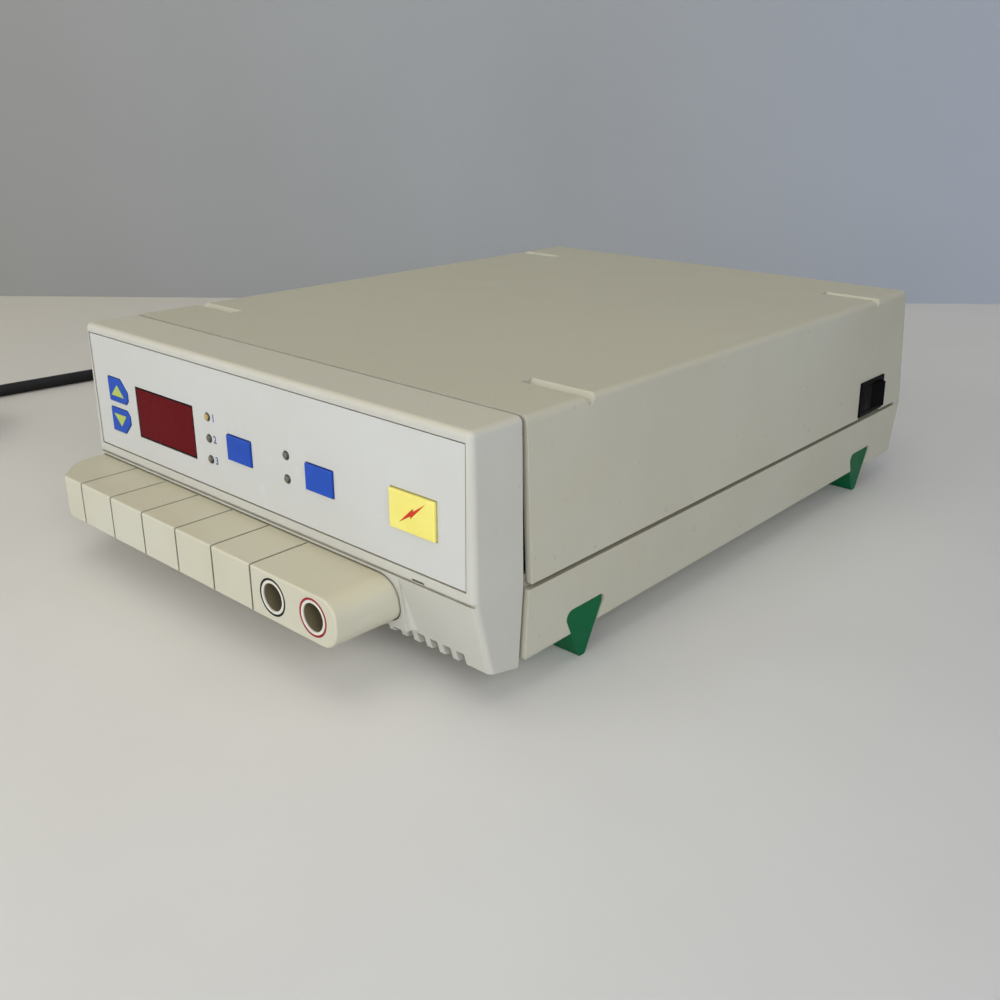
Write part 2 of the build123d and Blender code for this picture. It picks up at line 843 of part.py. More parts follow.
def display_board():
    middle = Pos(0, (board_z0 + board_z1) / 2) * Rectangle(2 * board_half, board_z1 - board_z0)
    board = prism_y(middle, board_y, board_y + board_wall)
    for x, z in board_post_places():
        board = board - post_y(x, z, stake_r + stake_clearance, board_y - 1, board_y + board_wall + 1)
    return board


# ---- output ledge ----
def ledge_profile(y, grow):
    # outline in (X, Z) at depth y: flat on top, rounded at the right, larger towards the case
    spread = (y - ledge_front_y) * math.tan(math.radians(ledge_draft)) + grow
    z0 = ledge_z0 - spread
    z1 = ledge_z1 + grow
    x0 = ledge_left - grow
    x1 = ledge_right + spread
    face = make_face(Polyline((x0, z0), (x1, z0), (x1, z1), (x0, z1), close=True))
    right = face.vertices().group_by(Axis.X)[-1]
    return fillet(right, ledge_end_r + spread)


def ledge_bar(inset, y0, y1):
    near = Plane.XZ.offset(-y0) * ledge_profile(y0, -inset)
    far = Plane.XZ.offset(-y1) * ledge_profile(y1, -inset)
    return loft([near, far], ruled=True)


def nose_plan(inset):
    # plan outline: a swept left end, drawn back in a bend to the straight side
    x0 = ledge_left + inset
    y0 = ledge_front_y + inset
    corner_x = nose_front_x + inset * 0.6
    plan = make_face(Polyline((x0, ledge_tail_y + 5), (x0, nose_side_y - 3), (corner_x, y0),
                              (x_far, y0), (x_far, ledge_tail_y + 5), close=True))
    bend = plan.vertices().filter_by(lambda v: v.X < x0 + 0.1 and v.Y < ledge_tail_y)
    return fillet(bend, nose_bend_r)


def ledge_body(inset):
    bar = ledge_bar(inset, ledge_front_y + inset, 0)
    return bar & prism_z(nose_plan(inset), 0, top_z)


def output_ledge():
    body = ledge_body(0)

    def under_nose(edge):
        centre = edge.center()
        low = centre.Z < (ledge_z0 + ledge_z1) / 2 - 4
        return low and centre.X < nose_front_x + 1 and edge.length > 2 and centre.Y < -1

    body = fillet(body.edges().filter_by(under_nose), nose_under_r)
    face_edges = body.faces().sort_by(Axis.Y)[0].edges()
    body = fillet(face_edges, ledge_edge_r)
    shell = ledge_body(ledge_groove_depth)
    for i in range(ledge_groove_count):
        x = ledge_groove_x - i * ledge_groove_pitch
        slab = block(x - ledge_groove / 2, x + ledge_groove / 2, ledge_front_y - 1, 0, 0, top_z)
        body = body - (slab - shell)
    tail = prism_y(ledge_profile(0, 0), 0, ledge_tail_y)
    rim = prism_y(ledge_profile(0, ledge_flange_margin), ledge_tail_y, ledge_tail_y + ledge_flange)
    rim = rim & block(-(bezel_foot_half - wall - 1), x_far, 0, bezel_rear_y, 0, top_z)
    body = body + tail + rim
    hollow = ledge_body(ledge_wall) & block(-x_far, x_far, ledge_front_y + ledge_wall, 1, 0, top_z)
    hollow = hollow + prism_y(ledge_profile(0, -ledge_wall), 0, ledge_tail_y + 2 * ledge_flange)
    body = body - hollow
    for x in (black_socket_x, red_socket_x):
        boss_r = socket_sleeve_r + fit_clearance + boss_wall
        body = body + post_y(x, socket_z, boss_r, ledge_front_y + ledge_wall - 0.5, 0)
        body = body - rod_y(x, socket_z, socket_sleeve_r + fit_clearance, ledge_front_y - 1, bezel_rear_y)
        ring_seat = rod_y(x, socket_z, ring_outer_r + fit_clearance, ledge_front_y - 1,
                          ledge_front_y + ring_wall)
        body = body - ring_seat
    return body


def socket_sleeve(x):
    y0 = ledge_front_y
    bore_end = y0 + socket_depth
    sleeve = rod_y(x, socket_z, socket_sleeve_r, y0, bore_end + socket_end)
    sleeve = sleeve - rod_y(x, socket_z, socket_bore_r, y0 - 1, bore_end)
    return sleeve - rod_y(x, socket_z, contact_r + fit_clearance, y0, bore_end + socket_end + 1)


def socket_ring(x):
    ring = rod_y(x, socket_z, ring_outer_r, ledge_front_y, ledge_front_y + ring_wall)
    return ring - rod_y(x, socket_z, ring_inner_r, ledge_front_y - 1, ledge_front_y + 2 * ring_wall)


def socket_contact(x):
    y0 = ledge_front_y + socket_depth
    contact = rod_y(x, socket_z, contact_r, y0, y0 + contact_length + contact_end)
    return contact - rod_y(x, socket_z, contact_bore_r, y0 - 1, y0 + contact_length)


# ---- power switch ----
switch_lean = math.degrees(math.atan2(cover_draft, top_z - seam_z))
switch_plane = Plane(origin=(cover_half(switch_z), switch_y, switch_z), x_dir=(0, 1, 0),
                     z_dir=(math.cos(math.radians(switch_lean)), 0, math.sin(math.radians(switch_lean))))
opening_length = switch_length - 2 * switch_rim
opening_height = switch_height - 2 * switch_rim
rocker_r = opening_length / 2 - rocker_clearance
rocker_height = opening_height - 2 * rocker_clearance
pivot_z = switch_proud - rocker_pivot_depth


def rod_v(x, z, r, v0, v1):
    # a rod along the switch's own height, in its local frame
    return Pos(x, (v0 + v1) / 2, z) * Rot(90, 0, 0) * Cylinder(r, v1 - v0)


def power_switch_frame():
    flange = Pos(0, 0, switch_proud / 2) * Box(switch_length, switch_height, switch_proud)
    flange = fillet(flange.faces().sort_by(Axis.Z)[-1].edges(), switch_edge_r)
    body_length = switch_length - switch_rim - 2 * joint_clearance
    body_height = switch_height - switch_rim - 2 * joint_clearance
    body = Pos(0, 0, 0.1 - switch_depth / 2) * Box(body_length, body_height, switch_depth)
    room = Pos(0, 0, switch_proud) * Box(opening_length, opening_height, 2 * (switch_depth - 3))
    frame = flange + body - room
    pin_reach = rocker_height / 2 + rocker_pin + fit_clearance
    frame = frame - rod_v(0, pivot_z, rocker_pin_r + fit_clearance, -pin_reach, pin_reach)
    return switch_plane.location * frame


def power_rocker():
    body = rod_v(0, pivot_z, rocker_r, -rocker_height / 2, rocker_height / 2)
    span = 4 * rocker_r
    body = body & Pos(0, 0, pivot_z - rocker_under + span / 2) * Box(span, span, span)
    for side in (-1, 1):
        above = Pos(side * span / 2, 0, rocker_face + span / 2) * Box(span, span, span)
        body = body - Pos(0, 0, pivot_z) * Rot(0, -side * rocker_tilt, 0) * above
    pin_reach = rocker_height / 2 + rocker_pin
    body = body + rod_v(0, pivot_z, rocker_pin_r, -pin_reach, pin_reach)
    rest = Pos(0, 0, pivot_z) * Rot(0, -rocker_tilt, 0) * Pos(0, 0, -pivot_z)
    return switch_plane.location * (rest * body)


# ---- rear panel, inlet and fuse drawer ----
flange_y = rear_panel_y + rear_panel_wall
outer_y = flange_y + inlet_flange_wall
drawer_z = inlet_z + inlet_recess_height / 2 + inlet_divider + drawer_clearance + drawer_height / 2
inlet_z0 = inlet_z - inlet_recess_height / 2 - inlet_margin
inlet_z1 = drawer_z + drawer_height / 2 + drawer_clearance + inlet_margin


def cut_corner_sketch(width, height, cut):
    # a rectangle with its two lower corners cut off, about its own centre
    half = width / 2
    low = -height / 2
    return make_face(Polyline((-half + cut, low), (half - cut, low), (half, low + cut), (half, -low),
                              (-half, -low), (-half, low + cut), close=True))


def inlet_shape(grow):
    middle = (inlet_z0 + inlet_z1) / 2
    height = inlet_z1 - inlet_z0 - 2 + 2 * grow
    return Pos(inlet_x, middle) * Rectangle(inlet_body_width + 2 * grow, height)


def rear_screw_places():
    return [(-rear_boss_x, rear_boss_z), (rear_boss_x, rear_boss_z)]


def rear_panel():
    middle = Pos(0, (base_z + wall + rear_panel_z1) / 2)
    height = rear_panel_z1 - base_z - wall
    panel = prism_y(middle * Rectangle(2 * rear_panel_half, height), rear_panel_y, flange_y)
    panel = panel - prism_y(inlet_shape(joint_clearance), rear_panel_y - 1, flange_y + 1)
    for x, z in rear_screw_places():
        panel = panel - rod_y(x, z, rear_screw_r + joint_clearance, rear_panel_y - 1, flange_y + 1)
    return panel


def rear_panel_screws():
    screws = []
    for x, z in rear_screw_places():
        head = rod_y(x, z, rear_screw_head_r, flange_y, flange_y + rear_screw_head)
        shank_r = rear_screw_r - fit_clearance
        screws.append(head + post_y(x, z, shank_r, rear_panel_y - rear_screw_bite, flange_y + 0.5))
    return Compound(screws)


def mains_inlet():
    middle = (inlet_z0 + inlet_z1) / 2
    rim = Pos(inlet_x, middle) * Rectangle(inlet_body_width + 2 * inlet_rim, inlet_z1 - inlet_z0 + 2)
    inlet = prism_y(rim, flange_y, flange_y + inlet_flange_wall)
    inlet = inlet + prism_y(inlet_shape(0), flange_y - inlet_body_depth, flange_y + 0.5)
    recess = cut_corner_sketch(inlet_recess_width, inlet_recess_height, inlet_recess_cut)
    recess = Pos(inlet_x, inlet_z) * recess
    inlet = inlet - prism_y(recess, outer_y - inlet_recess_depth, outer_y + 1)
    slot = Pos(inlet_x, drawer_z) * Rectangle(drawer_width + 2 * drawer_clearance,
                                              drawer_height + 2 * drawer_clearance)
    return inlet - prism_y(slot, outer_y - drawer_depth - 1, outer_y + 1)


def inlet_pin_places():
    low = inlet_z - pin_drop / 2
    return [(inlet_x - pin_spacing, low), (inlet_x + pin_spacing, low), (inlet_x, inlet_z + pin_drop / 2)]


def inlet_pins():
    root_y = outer_y - inlet_recess_depth
    pins = []
    for x, z in inlet_pin_places():
        blade = prism_y(Pos(x, z) * Rectangle(pin_wall, pin_width), root_y, root_y + pin_length)
        tip = blade.faces().sort_by(Axis.Y)[-1].edges()
        pins.append(chamfer(tip, 0.5))
    return Compound(pins)


def fuse_drawer():
    sketch = Pos(inlet_x, drawer_z) * Rectangle(drawer_width, drawer_height)
    drawer = prism_y(sketch, outer_y - drawer_depth, outer_y + 0.4)
    tray = Pos(inlet_x, drawer_z + drawer_floor) * Rectangle(fuse_length + 1.2, drawer_height)
    drawer = drawer - prism_y(tray, outer_y - drawer_depth + 2, outer_y - drawer_front)
    grip = block(inlet_x - 5, inlet_x + 5, outer_y - 0.9, outer_y + 2,
                 drawer_z + drawer_height / 2 - 2.4, drawer_z + drawer_height / 2 + 1)
    return drawer - grip


def fuse():
    y = outer_y - drawer_depth / 2
    floor_z = drawer_z + drawer_floor - drawer_height / 2
    return Pos(inlet_x, y, floor_z + fuse_r) * Rot(0, 90, 0) * Cylinder(fuse_r, fuse_length)


# ---- inside the case ----
def main_post_places():
    xs = (main_post_inset - main_board_half, main_board_half - main_post_inset)
    ys = (main_board_y0 + main_post_inset, main_board_y1 - main_post_inset)
    return [(x, y) for x in xs for y in ys]


def main_board():
    half = main_board_half
    board = block(-half, half, main_board_y0, main_board_y1, main_board_z, board_top)
    for x, y in main_post_places():
        board = board - post_z(x, y, stake_r + stake_clearance, main_board_z - 1, board_top + 1)
    return board


def can(x, y, size):
    return block(x - size[0] / 2, x + size[0] / 2, y - size[1] / 2, y + size[1] / 2,
                 board_top, board_top + size[2])


def pulse_capacitor():
    body = can(capacitor_x, capacitor_y, capacitor_size)
    body = fillet(body.edges().filter_by(Axis.Z), 4)
    top = board_top + capacitor_size[2]
    for x in (black_socket_x, red_socket_x):
        body = body + post_z(x, capacitor_y, terminal_r, top - 1, top + terminal_height)
    return body


def coil_front():
    return transformer_y - transformer_coil[1] / 2


def step_up_module():
    y0 = main_board_y0 + main_board_front
    y1 = coil_front() - step_up_gap
    body = can(step_up_x, (y0 + y1) / 2, (step_up_size[0], y1 - y0, step_up_size[1]))
    return fillet(body.edges().filter_by(Axis.Z), 2)


def mains_transformer():
    core = can(transformer_x, transformer_y, transformer_core)
    coil_z0 = board_top + (transformer_core[2] - transformer_coil[2]) / 2
    coil = can(transformer_x, transformer_y, transformer_coil)
    coil = Pos(0, 0, coil_z0 - board_top) * fillet(coil.edges().filter_by(Axis.Z), 6)
    return core + coil


def limiting_resistor():
    width, height = resistor_size
    y0 = main_board_y0 + main_board_front
    y1 = coil_front() - resistor_gap
    body = can(resistor_x, (y0 + y1) / 2, (width, y1 - y0, height))
    top = board_top + height
    pitch = (width - fin_wall) / (fin_count - 1)
    for i in range(fin_count - 1):
        x = resistor_x - width / 2 + fin_wall + i * pitch
        body = body - block(x, x + pitch - fin_wall, 0, y_far, top - fin_depth, top + 1)
    return body


def output_lead(x):
    # insulated lead from a socket contact to a capacitor terminal, along its real route
    start_y = ledge_front_y + socket_depth + contact_length + contact_end
    end_z = board_top + capacitor_size[2] + terminal_height + lead_r
    points = [(x, start_y, socket_z), (x, start_y + 24, socket_z), (x, start_y + 60, end_z),
              (x, capacitor_y + terminal_r, end_z)]
    route = FilletPolyline(*points, radius=14)
    section = Plane(origin=points[0], z_dir=(0, 1, 0)) * RegularPolygon(lead_r, lead_sides)
    return sweep(section, path=route)


# ---- mains cord ----
cord_r = cord_diameter / 2
connector_y1 = outer_y + connector_body
exit_y = connector_y1 + relief_length
coil_x, coil_y = coil_centre
coil_start = (coil_x - coil_outer_r, coil_y + cord_diameter, cord_r)

cord_route = [
    (inlet_x, exit_y, inlet_z),
    (inlet_x, exit_y + 48, inlet_z),
    (inlet_x - 34, exit_y + 92, cord_r),
    (inlet_x - 108, exit_y + 103, cord_r),
    (-232, 428, cord_r),
    (-296, 374, cord_r),
    (-331, 300, cord_r),
    (-337, 218, cord_r),
    (-343.5, 136, cord_r),
    (coil_start[0], 36, cord_r),
    coil_start,
]


def cord_section():
    return RegularPolygon(cord_r, cord_sides)


def route_radii(points):
    # the largest arc that both runs at each point allow
    radii = []
    for a, b, c in zip(points, points[1:], points[2:]):
        before = Vector(*b) - Vector(*a)
        after = Vector(*c) - Vector(*b)
        half_turn = math.radians(before.get_angle(after)) / 2
        radii.append(0.45 * min(before.length, after.length) / math.tan(half_turn))
    return radii


def cord_run():
    radii = route_radii(cord_route)
    print("cord radii", [round(r, 1) for r in radii])
    route = FilletPolyline(*cord_route, radius=radii)
    start = Vector(*cord_route[0])
    section = Plane(origin=start, z_dir=Vector(*cord_route[1]) - start) * cord_section()
    tube = sweep(section, path=route)
    print("cord run length", round(route.length, 1), "volume against section times length",
          round(tube.volume / (section.area * route.length), 4))
    return tube


def arc_pair(p0, t0, p1, t1):
    # two arcs, tangent to each other, from p0 heading t0 to p1 heading t1
    v = p1 - p0
    t = t0 + t1
    k = 2 * (1 - t0.dot(t1))
    reach = (-v.dot(t) + math.sqrt(v.dot(t) ** 2 + k * v.dot(v))) / k
    joint = (p0 + t0 * reach + p1 - t1 * reach) * 0.5
    heading = (p1 - t1 * reach) - (p0 + t0 * reach)
    return [Edge.make_tangent_arc(p0, t0, joint), Edge.make_tangent_arc(joint, heading.normalized(), p1)]


def coil_place(quarter):
    # centre line and heading after so many quarter turns: in on the table, up, and out on top
    pitch = cord_diameter + coil_gap
    climb = 2 * coil_half_turns_down
    turn = climb + 1
    last = turn + 1 + 2 * coil_half_turns_up
    inner_r = coil_outer_r - pitch * turn / 4
    r = inner_r + pitch * abs(quarter - turn) / 4
    rise = min(max((quarter - climb) / 2, 0), 1)
    drift = 0 if quarter in (0, turn, last) else math.copysign(pitch / (2 * math.pi), quarter - turn)
    lift = 1.5 * pitch / math.pi if quarter == turn else 0
    angle = math.pi + quarter * math.pi / 2
    out = Vector(math.cos(angle), math.sin(angle), 0)
    along = Vector(-math.sin(angle), math.cos(angle), 0)
    heading = along * r + out * drift + Vector(0, 0, lift)
    return Vector(coil_x, coil_y, cord_r + pitch * rise) + out * r, heading.normalized()


def cord_coil():
    count = 2 * (coil_half_turns_down + coil_half_turns_up) + 2
    first, heading = coil_place(0)
    edges = [Edge.make_line(Vector(*coil_start), first)]
    for quarter in range(count):
        p0, t0 = coil_place(quarter)
        p1, t1 = coil_place(quarter + 1)
        edges += arc_pair(p0, t0, p1, t1)
    last, last_heading = coil_place(count)
    edges.append(Edge.make_line(last, last + last_heading * coil_tail))
    path = Wire(edges)
    section = Plane(origin=Vector(*coil_start), z_dir=heading) * cord_section()
    tube = sweep(section, path=path)
    print("coil length", round(path.length, 1), "solids", len(tube.solids()))
    report_coil_gap(path)
    return tube


def report_coil_gap(path):
    steps = int(path.length / 2.5)
    points = [path.position_at(i / steps) for i in range(steps + 1)]
    skip = int(4 * cord_diameter / 2.5)
    least = min((points[i] - points[j]).length for i in range(steps) for j in range(i + skip, steps + 1))
    print("least gap of the coil to itself", round(least - cord_diameter, 2))


def relief(base, direction, length):
    # tapered strain relief, wide at its housing and narrow where the cord leaves it
    start = Plane(origin=base, z_dir=direction)
    end = Plane(origin=Vector(*base) + Vector(*direction) * length, z_dir=direction)
    return loft([start * Circle(relief_root_r), end * Circle(relief_end_r)], ruled=True)


def mains_connector():
    nose_width = inlet_recess_width - 2 * connector_clearance
    nose_height = inlet_recess_height - 2 * connector_clearance
    nose = Pos(inlet_x, inlet_z) * cut_corner_sketch(nose_width, nose_height, inlet_recess_cut)
    nose_y = outer_y - inlet_recess_depth + 2 * connector_clearance
    body = prism_y(nose, nose_y, outer_y + 2)
    grip = prism_y(Pos(inlet_x, inlet_z) * Rectangle(connector_width, connector_height),
                   outer_y + connector_clearance, connector_y1)
    grip = fillet(grip.edges().filter_by(Axis.Y), connector_corner_r)
    body = body + grip + relief((inlet_x, connector_y1 - 1, inlet_z), (0, 1, 0), relief_length + 1)
    for x, z in inlet_pin_places():
        slot = Rectangle(pin_wall + 2 * connector_clearance, pin_width + 2 * connector_clearance)
        body = body - prism_y(Pos(x, z) * slot, nose_y - 1, nose_y + pin_length + 1)
    return body


plug_entry, plug_heading = coil_place(2 * (coil_half_turns_down + coil_half_turns_up) + 2)
plug_entry = plug_entry + plug_heading * coil_tail
plug_front_y = plug_entry.Y - relief_length
plug_x = plug_entry.X
plug_z = plug_entry.Z


def mains_plug():
    half = plug_width / 2
    body = block(plug_x - half, plug_x + half, plug_front_y - plug_length, plug_front_y, 0, 2 * plug_z)
    body = fillet(body.edges().filter_by(Axis.Y), plug_corner_r)
    return body + relief((plug_x, plug_front_y - 1, plug_z), (0, 1, 0), relief_length + 1)


def plug_pins():
    root_y = plug_front_y - plug_length
    pins = []
    for side in (-1, 1):
        x = plug_x + side * blade_spacing / 2
        blade = Pos(x, plug_z - 2) * Rectangle(blade_wall, blade_width)
        pins.append(prism_y(blade, root_y - blade_length, root_y))
    ground = Pos(plug_x, plug_z - 2 + ground_pin_offset / 2) * Circle(ground_pin_r)
    pins.append(prism_y(ground, root_y - ground_pin_length, root_y))
    return Compound(pins)


# ---- every piece under its own name ----
pieces = {
    "top_cover": top_cover(),
    "base_tray": base_tray(),
    "front_bezel": front_bezel(),
    "control_panel": control_panel(),
    "display_window": display_window(),
    "display_module": display_module(),
    "display_board": display_board(),
    "key_switches": key_switches(),
    "indicator_lamps": indicator_lamps(),
    "output_ledge": output_ledge(),
    "power_switch_frame": power_switch_frame(),
    "power_rocker": power_rocker(),
    "rear_panel": rear_panel(),
    "rear_panel_screws": rear_panel_screws(),
    "mains_inlet": mains_inlet(),
    "inlet_pins": inlet_pins(),
    "fuse_drawer": fuse_drawer(),
    "fuse": fuse(),
    "main_board": main_board(),
    "pulse_capacitor": pulse_capacitor(),
    "step_up_module": step_up_module(),
    "mains_transformer": mains_transformer(),
    "limiting_resistor": limiting_resistor(),
    "case_screws": case_screws(),
}
for name in key_places:
    pieces[name] = key(name)
for name, x in (("black", black_socket_x), ("red", red_socket_x)):
    pieces[name + "_socket_sleeve"] = socket_sleeve(x)
    pieces[name + "_socket_ring"] = socket_ring(x)
    pieces[name + "_socket_contact"] = socket_contact(x)
    pieces[name + "_output_lead"] = output_lead(x)
for name, y, side in (("front_left", foot_front_y, -1), ("front_right", foot_front_y, 1),
                      ("rear_left", foot_rear_y, -1), ("rear_right", foot_rear_y, 1)):
    pieces["foot_" + name] = foot(y, side)

cord_pieces = {
    "mains_connector": mains_connector(),
    "cord_run": cord_run(),
    "cord_coil": cord_coil(),
    "mains_plug": mains_plug(),
    "plug_pins": plug_pins(),
}

footprint = Compound([solid for piece in pieces.values() for solid in piece.solids()]).bounding_box()
shift = Pos(-(footprint.min.X + footprint.max.X) / 2, -(footprint.min.Y + footprint.max.Y) / 2, 0)
print("shift", round(shift.position.X, 3), round(shift.position.Y, 3), "lowest", round(footprint.min.Z, 4))

for name, piece in {**pieces, **cord_pieces}.items():
    export_step(shift * piece, "parts/" + name + ".step")
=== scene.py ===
import json
import math
import bmesh
import bpy
from mathutils import Matrix, Vector


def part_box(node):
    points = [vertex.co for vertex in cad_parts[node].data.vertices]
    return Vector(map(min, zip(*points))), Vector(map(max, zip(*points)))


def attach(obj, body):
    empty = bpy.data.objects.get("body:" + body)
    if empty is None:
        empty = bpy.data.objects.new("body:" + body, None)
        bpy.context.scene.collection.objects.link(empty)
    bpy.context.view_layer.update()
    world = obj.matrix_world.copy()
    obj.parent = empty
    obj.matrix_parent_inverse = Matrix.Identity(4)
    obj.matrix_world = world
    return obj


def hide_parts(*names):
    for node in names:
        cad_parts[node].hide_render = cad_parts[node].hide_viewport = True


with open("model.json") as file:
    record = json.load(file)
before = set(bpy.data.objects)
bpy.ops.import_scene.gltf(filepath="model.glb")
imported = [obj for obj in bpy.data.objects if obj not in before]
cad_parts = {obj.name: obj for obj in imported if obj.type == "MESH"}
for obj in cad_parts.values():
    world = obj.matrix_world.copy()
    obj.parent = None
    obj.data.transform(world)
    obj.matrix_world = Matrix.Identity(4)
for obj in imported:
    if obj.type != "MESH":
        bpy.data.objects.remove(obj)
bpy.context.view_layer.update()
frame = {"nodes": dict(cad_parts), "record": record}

print("frame loaded,", len(frame["nodes"]), "nodes")

# the part's source is drawn in millimetres from the middle of the panel's face; these two move it
# to the middle of the footprint
originShift = (-0.001509, -0.141692)


def at(x, y, z):
    # a point of the part's own drawing, in metres in the shared frame
    return Vector((x / 1000 + originShift[0], y / 1000 + originShift[1], z / 1000))


def mm(value):
    return value / 1000


def tone(red, green, blue):
    # a colour as it looks on a screen, 0 to 255, turned to the linear values that shaders take
    def linear(channel):
        c = channel / 255
        return c / 12.92 if c <= 0.04045 else ((c + 0.055) / 1.055) ** 2.4
    return (linear(red), linear(green), linear(blue), 1.0)


# camera
view = {
    "place": (291.57, -198.95, 179.2),
    "turn": -41.504,
    "down": 21.537,
    "roll": -0.469,
    "lens": 37.703,
}


def setCamera():
    turn, down, roll = (math.radians(view[k]) for k in ("turn", "down", "roll"))
    ahead = Vector((math.sin(turn) * math.cos(down), math.cos(turn) * math.cos(down), -math.sin(down)))
    right = Vector((math.cos(turn), -math.sin(turn), 0))
    lower = ahead.cross(right)
    level, tip = right.copy(), lower.copy()
    right = level * math.cos(roll) + tip * math.sin(roll)
    lower = tip * math.cos(roll) - level * math.sin(roll)
    lensData = bpy.data.cameras.new("bench")
    lensData.lens = view["lens"]
    lensData.sensor_width = 36
    lensData.sensor_fit = "HORIZONTAL"
    lensData.clip_start = 0.01
    camera = bpy.data.objects.new("bench", lensData)
    bpy.context.scene.collection.objects.link(camera)
    turned = Matrix((right, -lower, -ahead)).transposed().to_4x4()
    camera.matrix_world = Matrix.Translation(at(*view["place"])) @ turned
    bpy.context.scene.camera = camera


setCamera()
print("camera set")


# materials
noiseBand = (0.3, 0.7)  # where most of a noise's values lie
edgeBand = (0.995, 0.90)  # how alike the flat and the rounded normal are, from inside a face to its edge


def startMaterial(name):
    material = bpy.data.materials.new(name)
    material.use_nodes = True
    tree = material.node_tree
    shader = tree.nodes["Principled BSDF"]
    return material, tree, shader


def addNode(tree, kind, **values):
    node = tree.nodes.new("ShaderNode" + kind)
    for key, value in values.items():
        setattr(node, key, value)
    return node


def objectPlace(tree):
    return addNode(tree, "TexCoord").outputs["Object"]


def grain(tree, place, scale, detail=4.0, roughness=0.6):
    noise = addNode(tree, "TexNoise")
    noise.inputs["Scale"].default_value = scale
    noise.inputs["Detail"].default_value = detail
    noise.inputs["Roughness"].default_value = roughness
    tree.links.new(place, noise.inputs["Vector"])
    return noise.outputs["Fac"]


def spread(tree, value, low, high, toLow=0.0, toHigh=1.0):
    ranger = addNode(tree, "MapRange")
    ranger.inputs["From Min"].default_value = low
    ranger.inputs["From Max"].default_value = high
    ranger.inputs["To Min"].default_value = toLow
    ranger.inputs["To Max"].default_value = toHigh
    tree.links.new(value, ranger.inputs["Value"])
    return ranger.outputs["Result"]


def mixTones(tree, share, first, second):
    mixer = addNode(tree, "Mix", data_type="RGBA")
    tree.links.new(share, mixer.inputs[0])
    for socket, colour in ((mixer.inputs[6], first), (mixer.inputs[7], second)):
        if isinstance(colour, tuple):
            socket.default_value = colour
        else:
            tree.links.new(colour, socket)
    return mixer.outputs[2]


def multiply(tree, first, second):
    product = addNode(tree, "Math", operation="MULTIPLY")
    for socket, value in ((product.inputs[0], first), (product.inputs[1], second)):
        if isinstance(value, float):
            socket.default_value = value
        else:
            tree.links.new(value, socket)
    return product.outputs[0]


def roundedNormal(tree, radius):
    # catches light along the moulded edges
    soft = addNode(tree, "Bevel", samples=4)
    soft.inputs["Radius"].default_value = radius
    return soft.outputs["Normal"]


def edgeShare(tree, radius):
    # how close a point is to an outer edge, from 0 to 1, for worn and rubbed places
    soft = roundedNormal(tree, radius)
    flat = addNode(tree, "NewGeometry").outputs["True Normal"]
    dot = addNode(tree, "VectorMath", operation="DOT_PRODUCT")
    tree.links.new(soft, dot.inputs[0])
    tree.links.new(flat, dot.inputs[1])
    return spread(tree, dot.outputs["Value"], *edgeBand)


def creviceShade(tree, distance):
    # 1 in the open, towards 0 in grooves and under rims, where dust stays and shade falls; used to paint that
    # shade
    shade = addNode(tree, "AmbientOcclusion", samples=4)
    shade.inputs["Distance"].default_value = distance
    return shade.outputs["AO"]


def bumped(tree, shader, height, strength, depth, normal=None):
    bump = addNode(tree, "Bump")
    bump.inputs["Strength"].default_value = strength
    bump.inputs["Distance"].default_value = depth
    tree.links.new(height, bump.inputs["Height"])
    if normal is not None:
        tree.links.new(normal, bump.inputs["Normal"])
    tree.links.new(bump.outputs["Normal"], shader.inputs["Normal"])


def mouldedPlastic(name, look):
    material, tree, shader = startMaterial(name)
    place = objectPlace(tree)
    cloud = spread(tree, grain(tree, place, look["cloudScale"], 5.0), *look["cloudBand"])
    colour = mixTones(tree, cloud, look["colour"], look["aged"])
    # a warmer tone on up-facing faces: the plastic's yellowing in the sun, and painted warm light from above
    if look.get("sunnedAndToplit"):
        facing = addNode(tree, "SeparateXYZ")
        tree.links.new(addNode(tree, "NewGeometry").outputs["True Normal"], facing.inputs[0])
        upFacingShare = spread(tree, facing.outputs["Z"], *look["sunnedAndToplitBand"])
        colour = mixTones(tree, upFacingShare, colour, look["sunnedAndToplit"])
    if look.get("speck"):
        spots = grain(tree, place, look["speckScale"], 2.0)
        spots = spread(tree, spots, *look["speckBand"], 0.0, look["speck"])
        colour = mixTones(tree, spots, colour, look["dirtAndShade"])
    # dust and painted shade in grooves and under rims
    if look.get("shadeAndGrime"):
        dustAndShade = spread(tree, creviceShade(tree, look["shadeAndGrimeReach"]), *look["shadeAndGrimeBand"], 0.0, look["shadeAndGrime"])
        colour = mixTones(tree, dustAndShade, colour, look["dirtAndShade"])
    # painted shade inside the socket bores, darker with depth
    if look.get("boreShade"):
        depth = addNode(tree, "SeparateXYZ")
        tree.links.new(place, depth.inputs[0])
        rim = at(0, look["boreFace"], 0).y
        shadeInBore = spread(tree, depth.outputs["Y"], rim + look["boreShadeStart"], rim + look["boreShadeFull"])
        colour = mixTones(tree, shadeInBore, colour, look["boreShade"])
    if look.get("wear"):
        rub = edgeShare(tree, look["edge"] * look["wearReach"])
        patchy = grain(tree, place, look["wearScale"], 4.0)
        patchy = spread(tree, patchy, *look["wearBand"], 0.0, look["wear"])
        colour = mixTones(tree, multiply(tree, rub, patchy), colour, look["rubbed"])
    tree.links.new(colour, shader.inputs["Base Color"])
    gloss = spread(tree, grain(tree, place, look["cloudScale"] * 3, 6.0), *noiseBand,
                   look["roughness"] - look["roughSpread"], look["roughness"] + look["roughSpread"])
    tree.links.new(gloss, shader.inputs["Roughness"])
    shader.inputs["Specular IOR Level"].default_value = look["specular"]
    bumped(tree, shader, grain(tree, place, look["grainScale"], 3.0), look["grainStrength"],
           look["grainDepth"], roundedNormal(tree, look["edge"]))
    return material


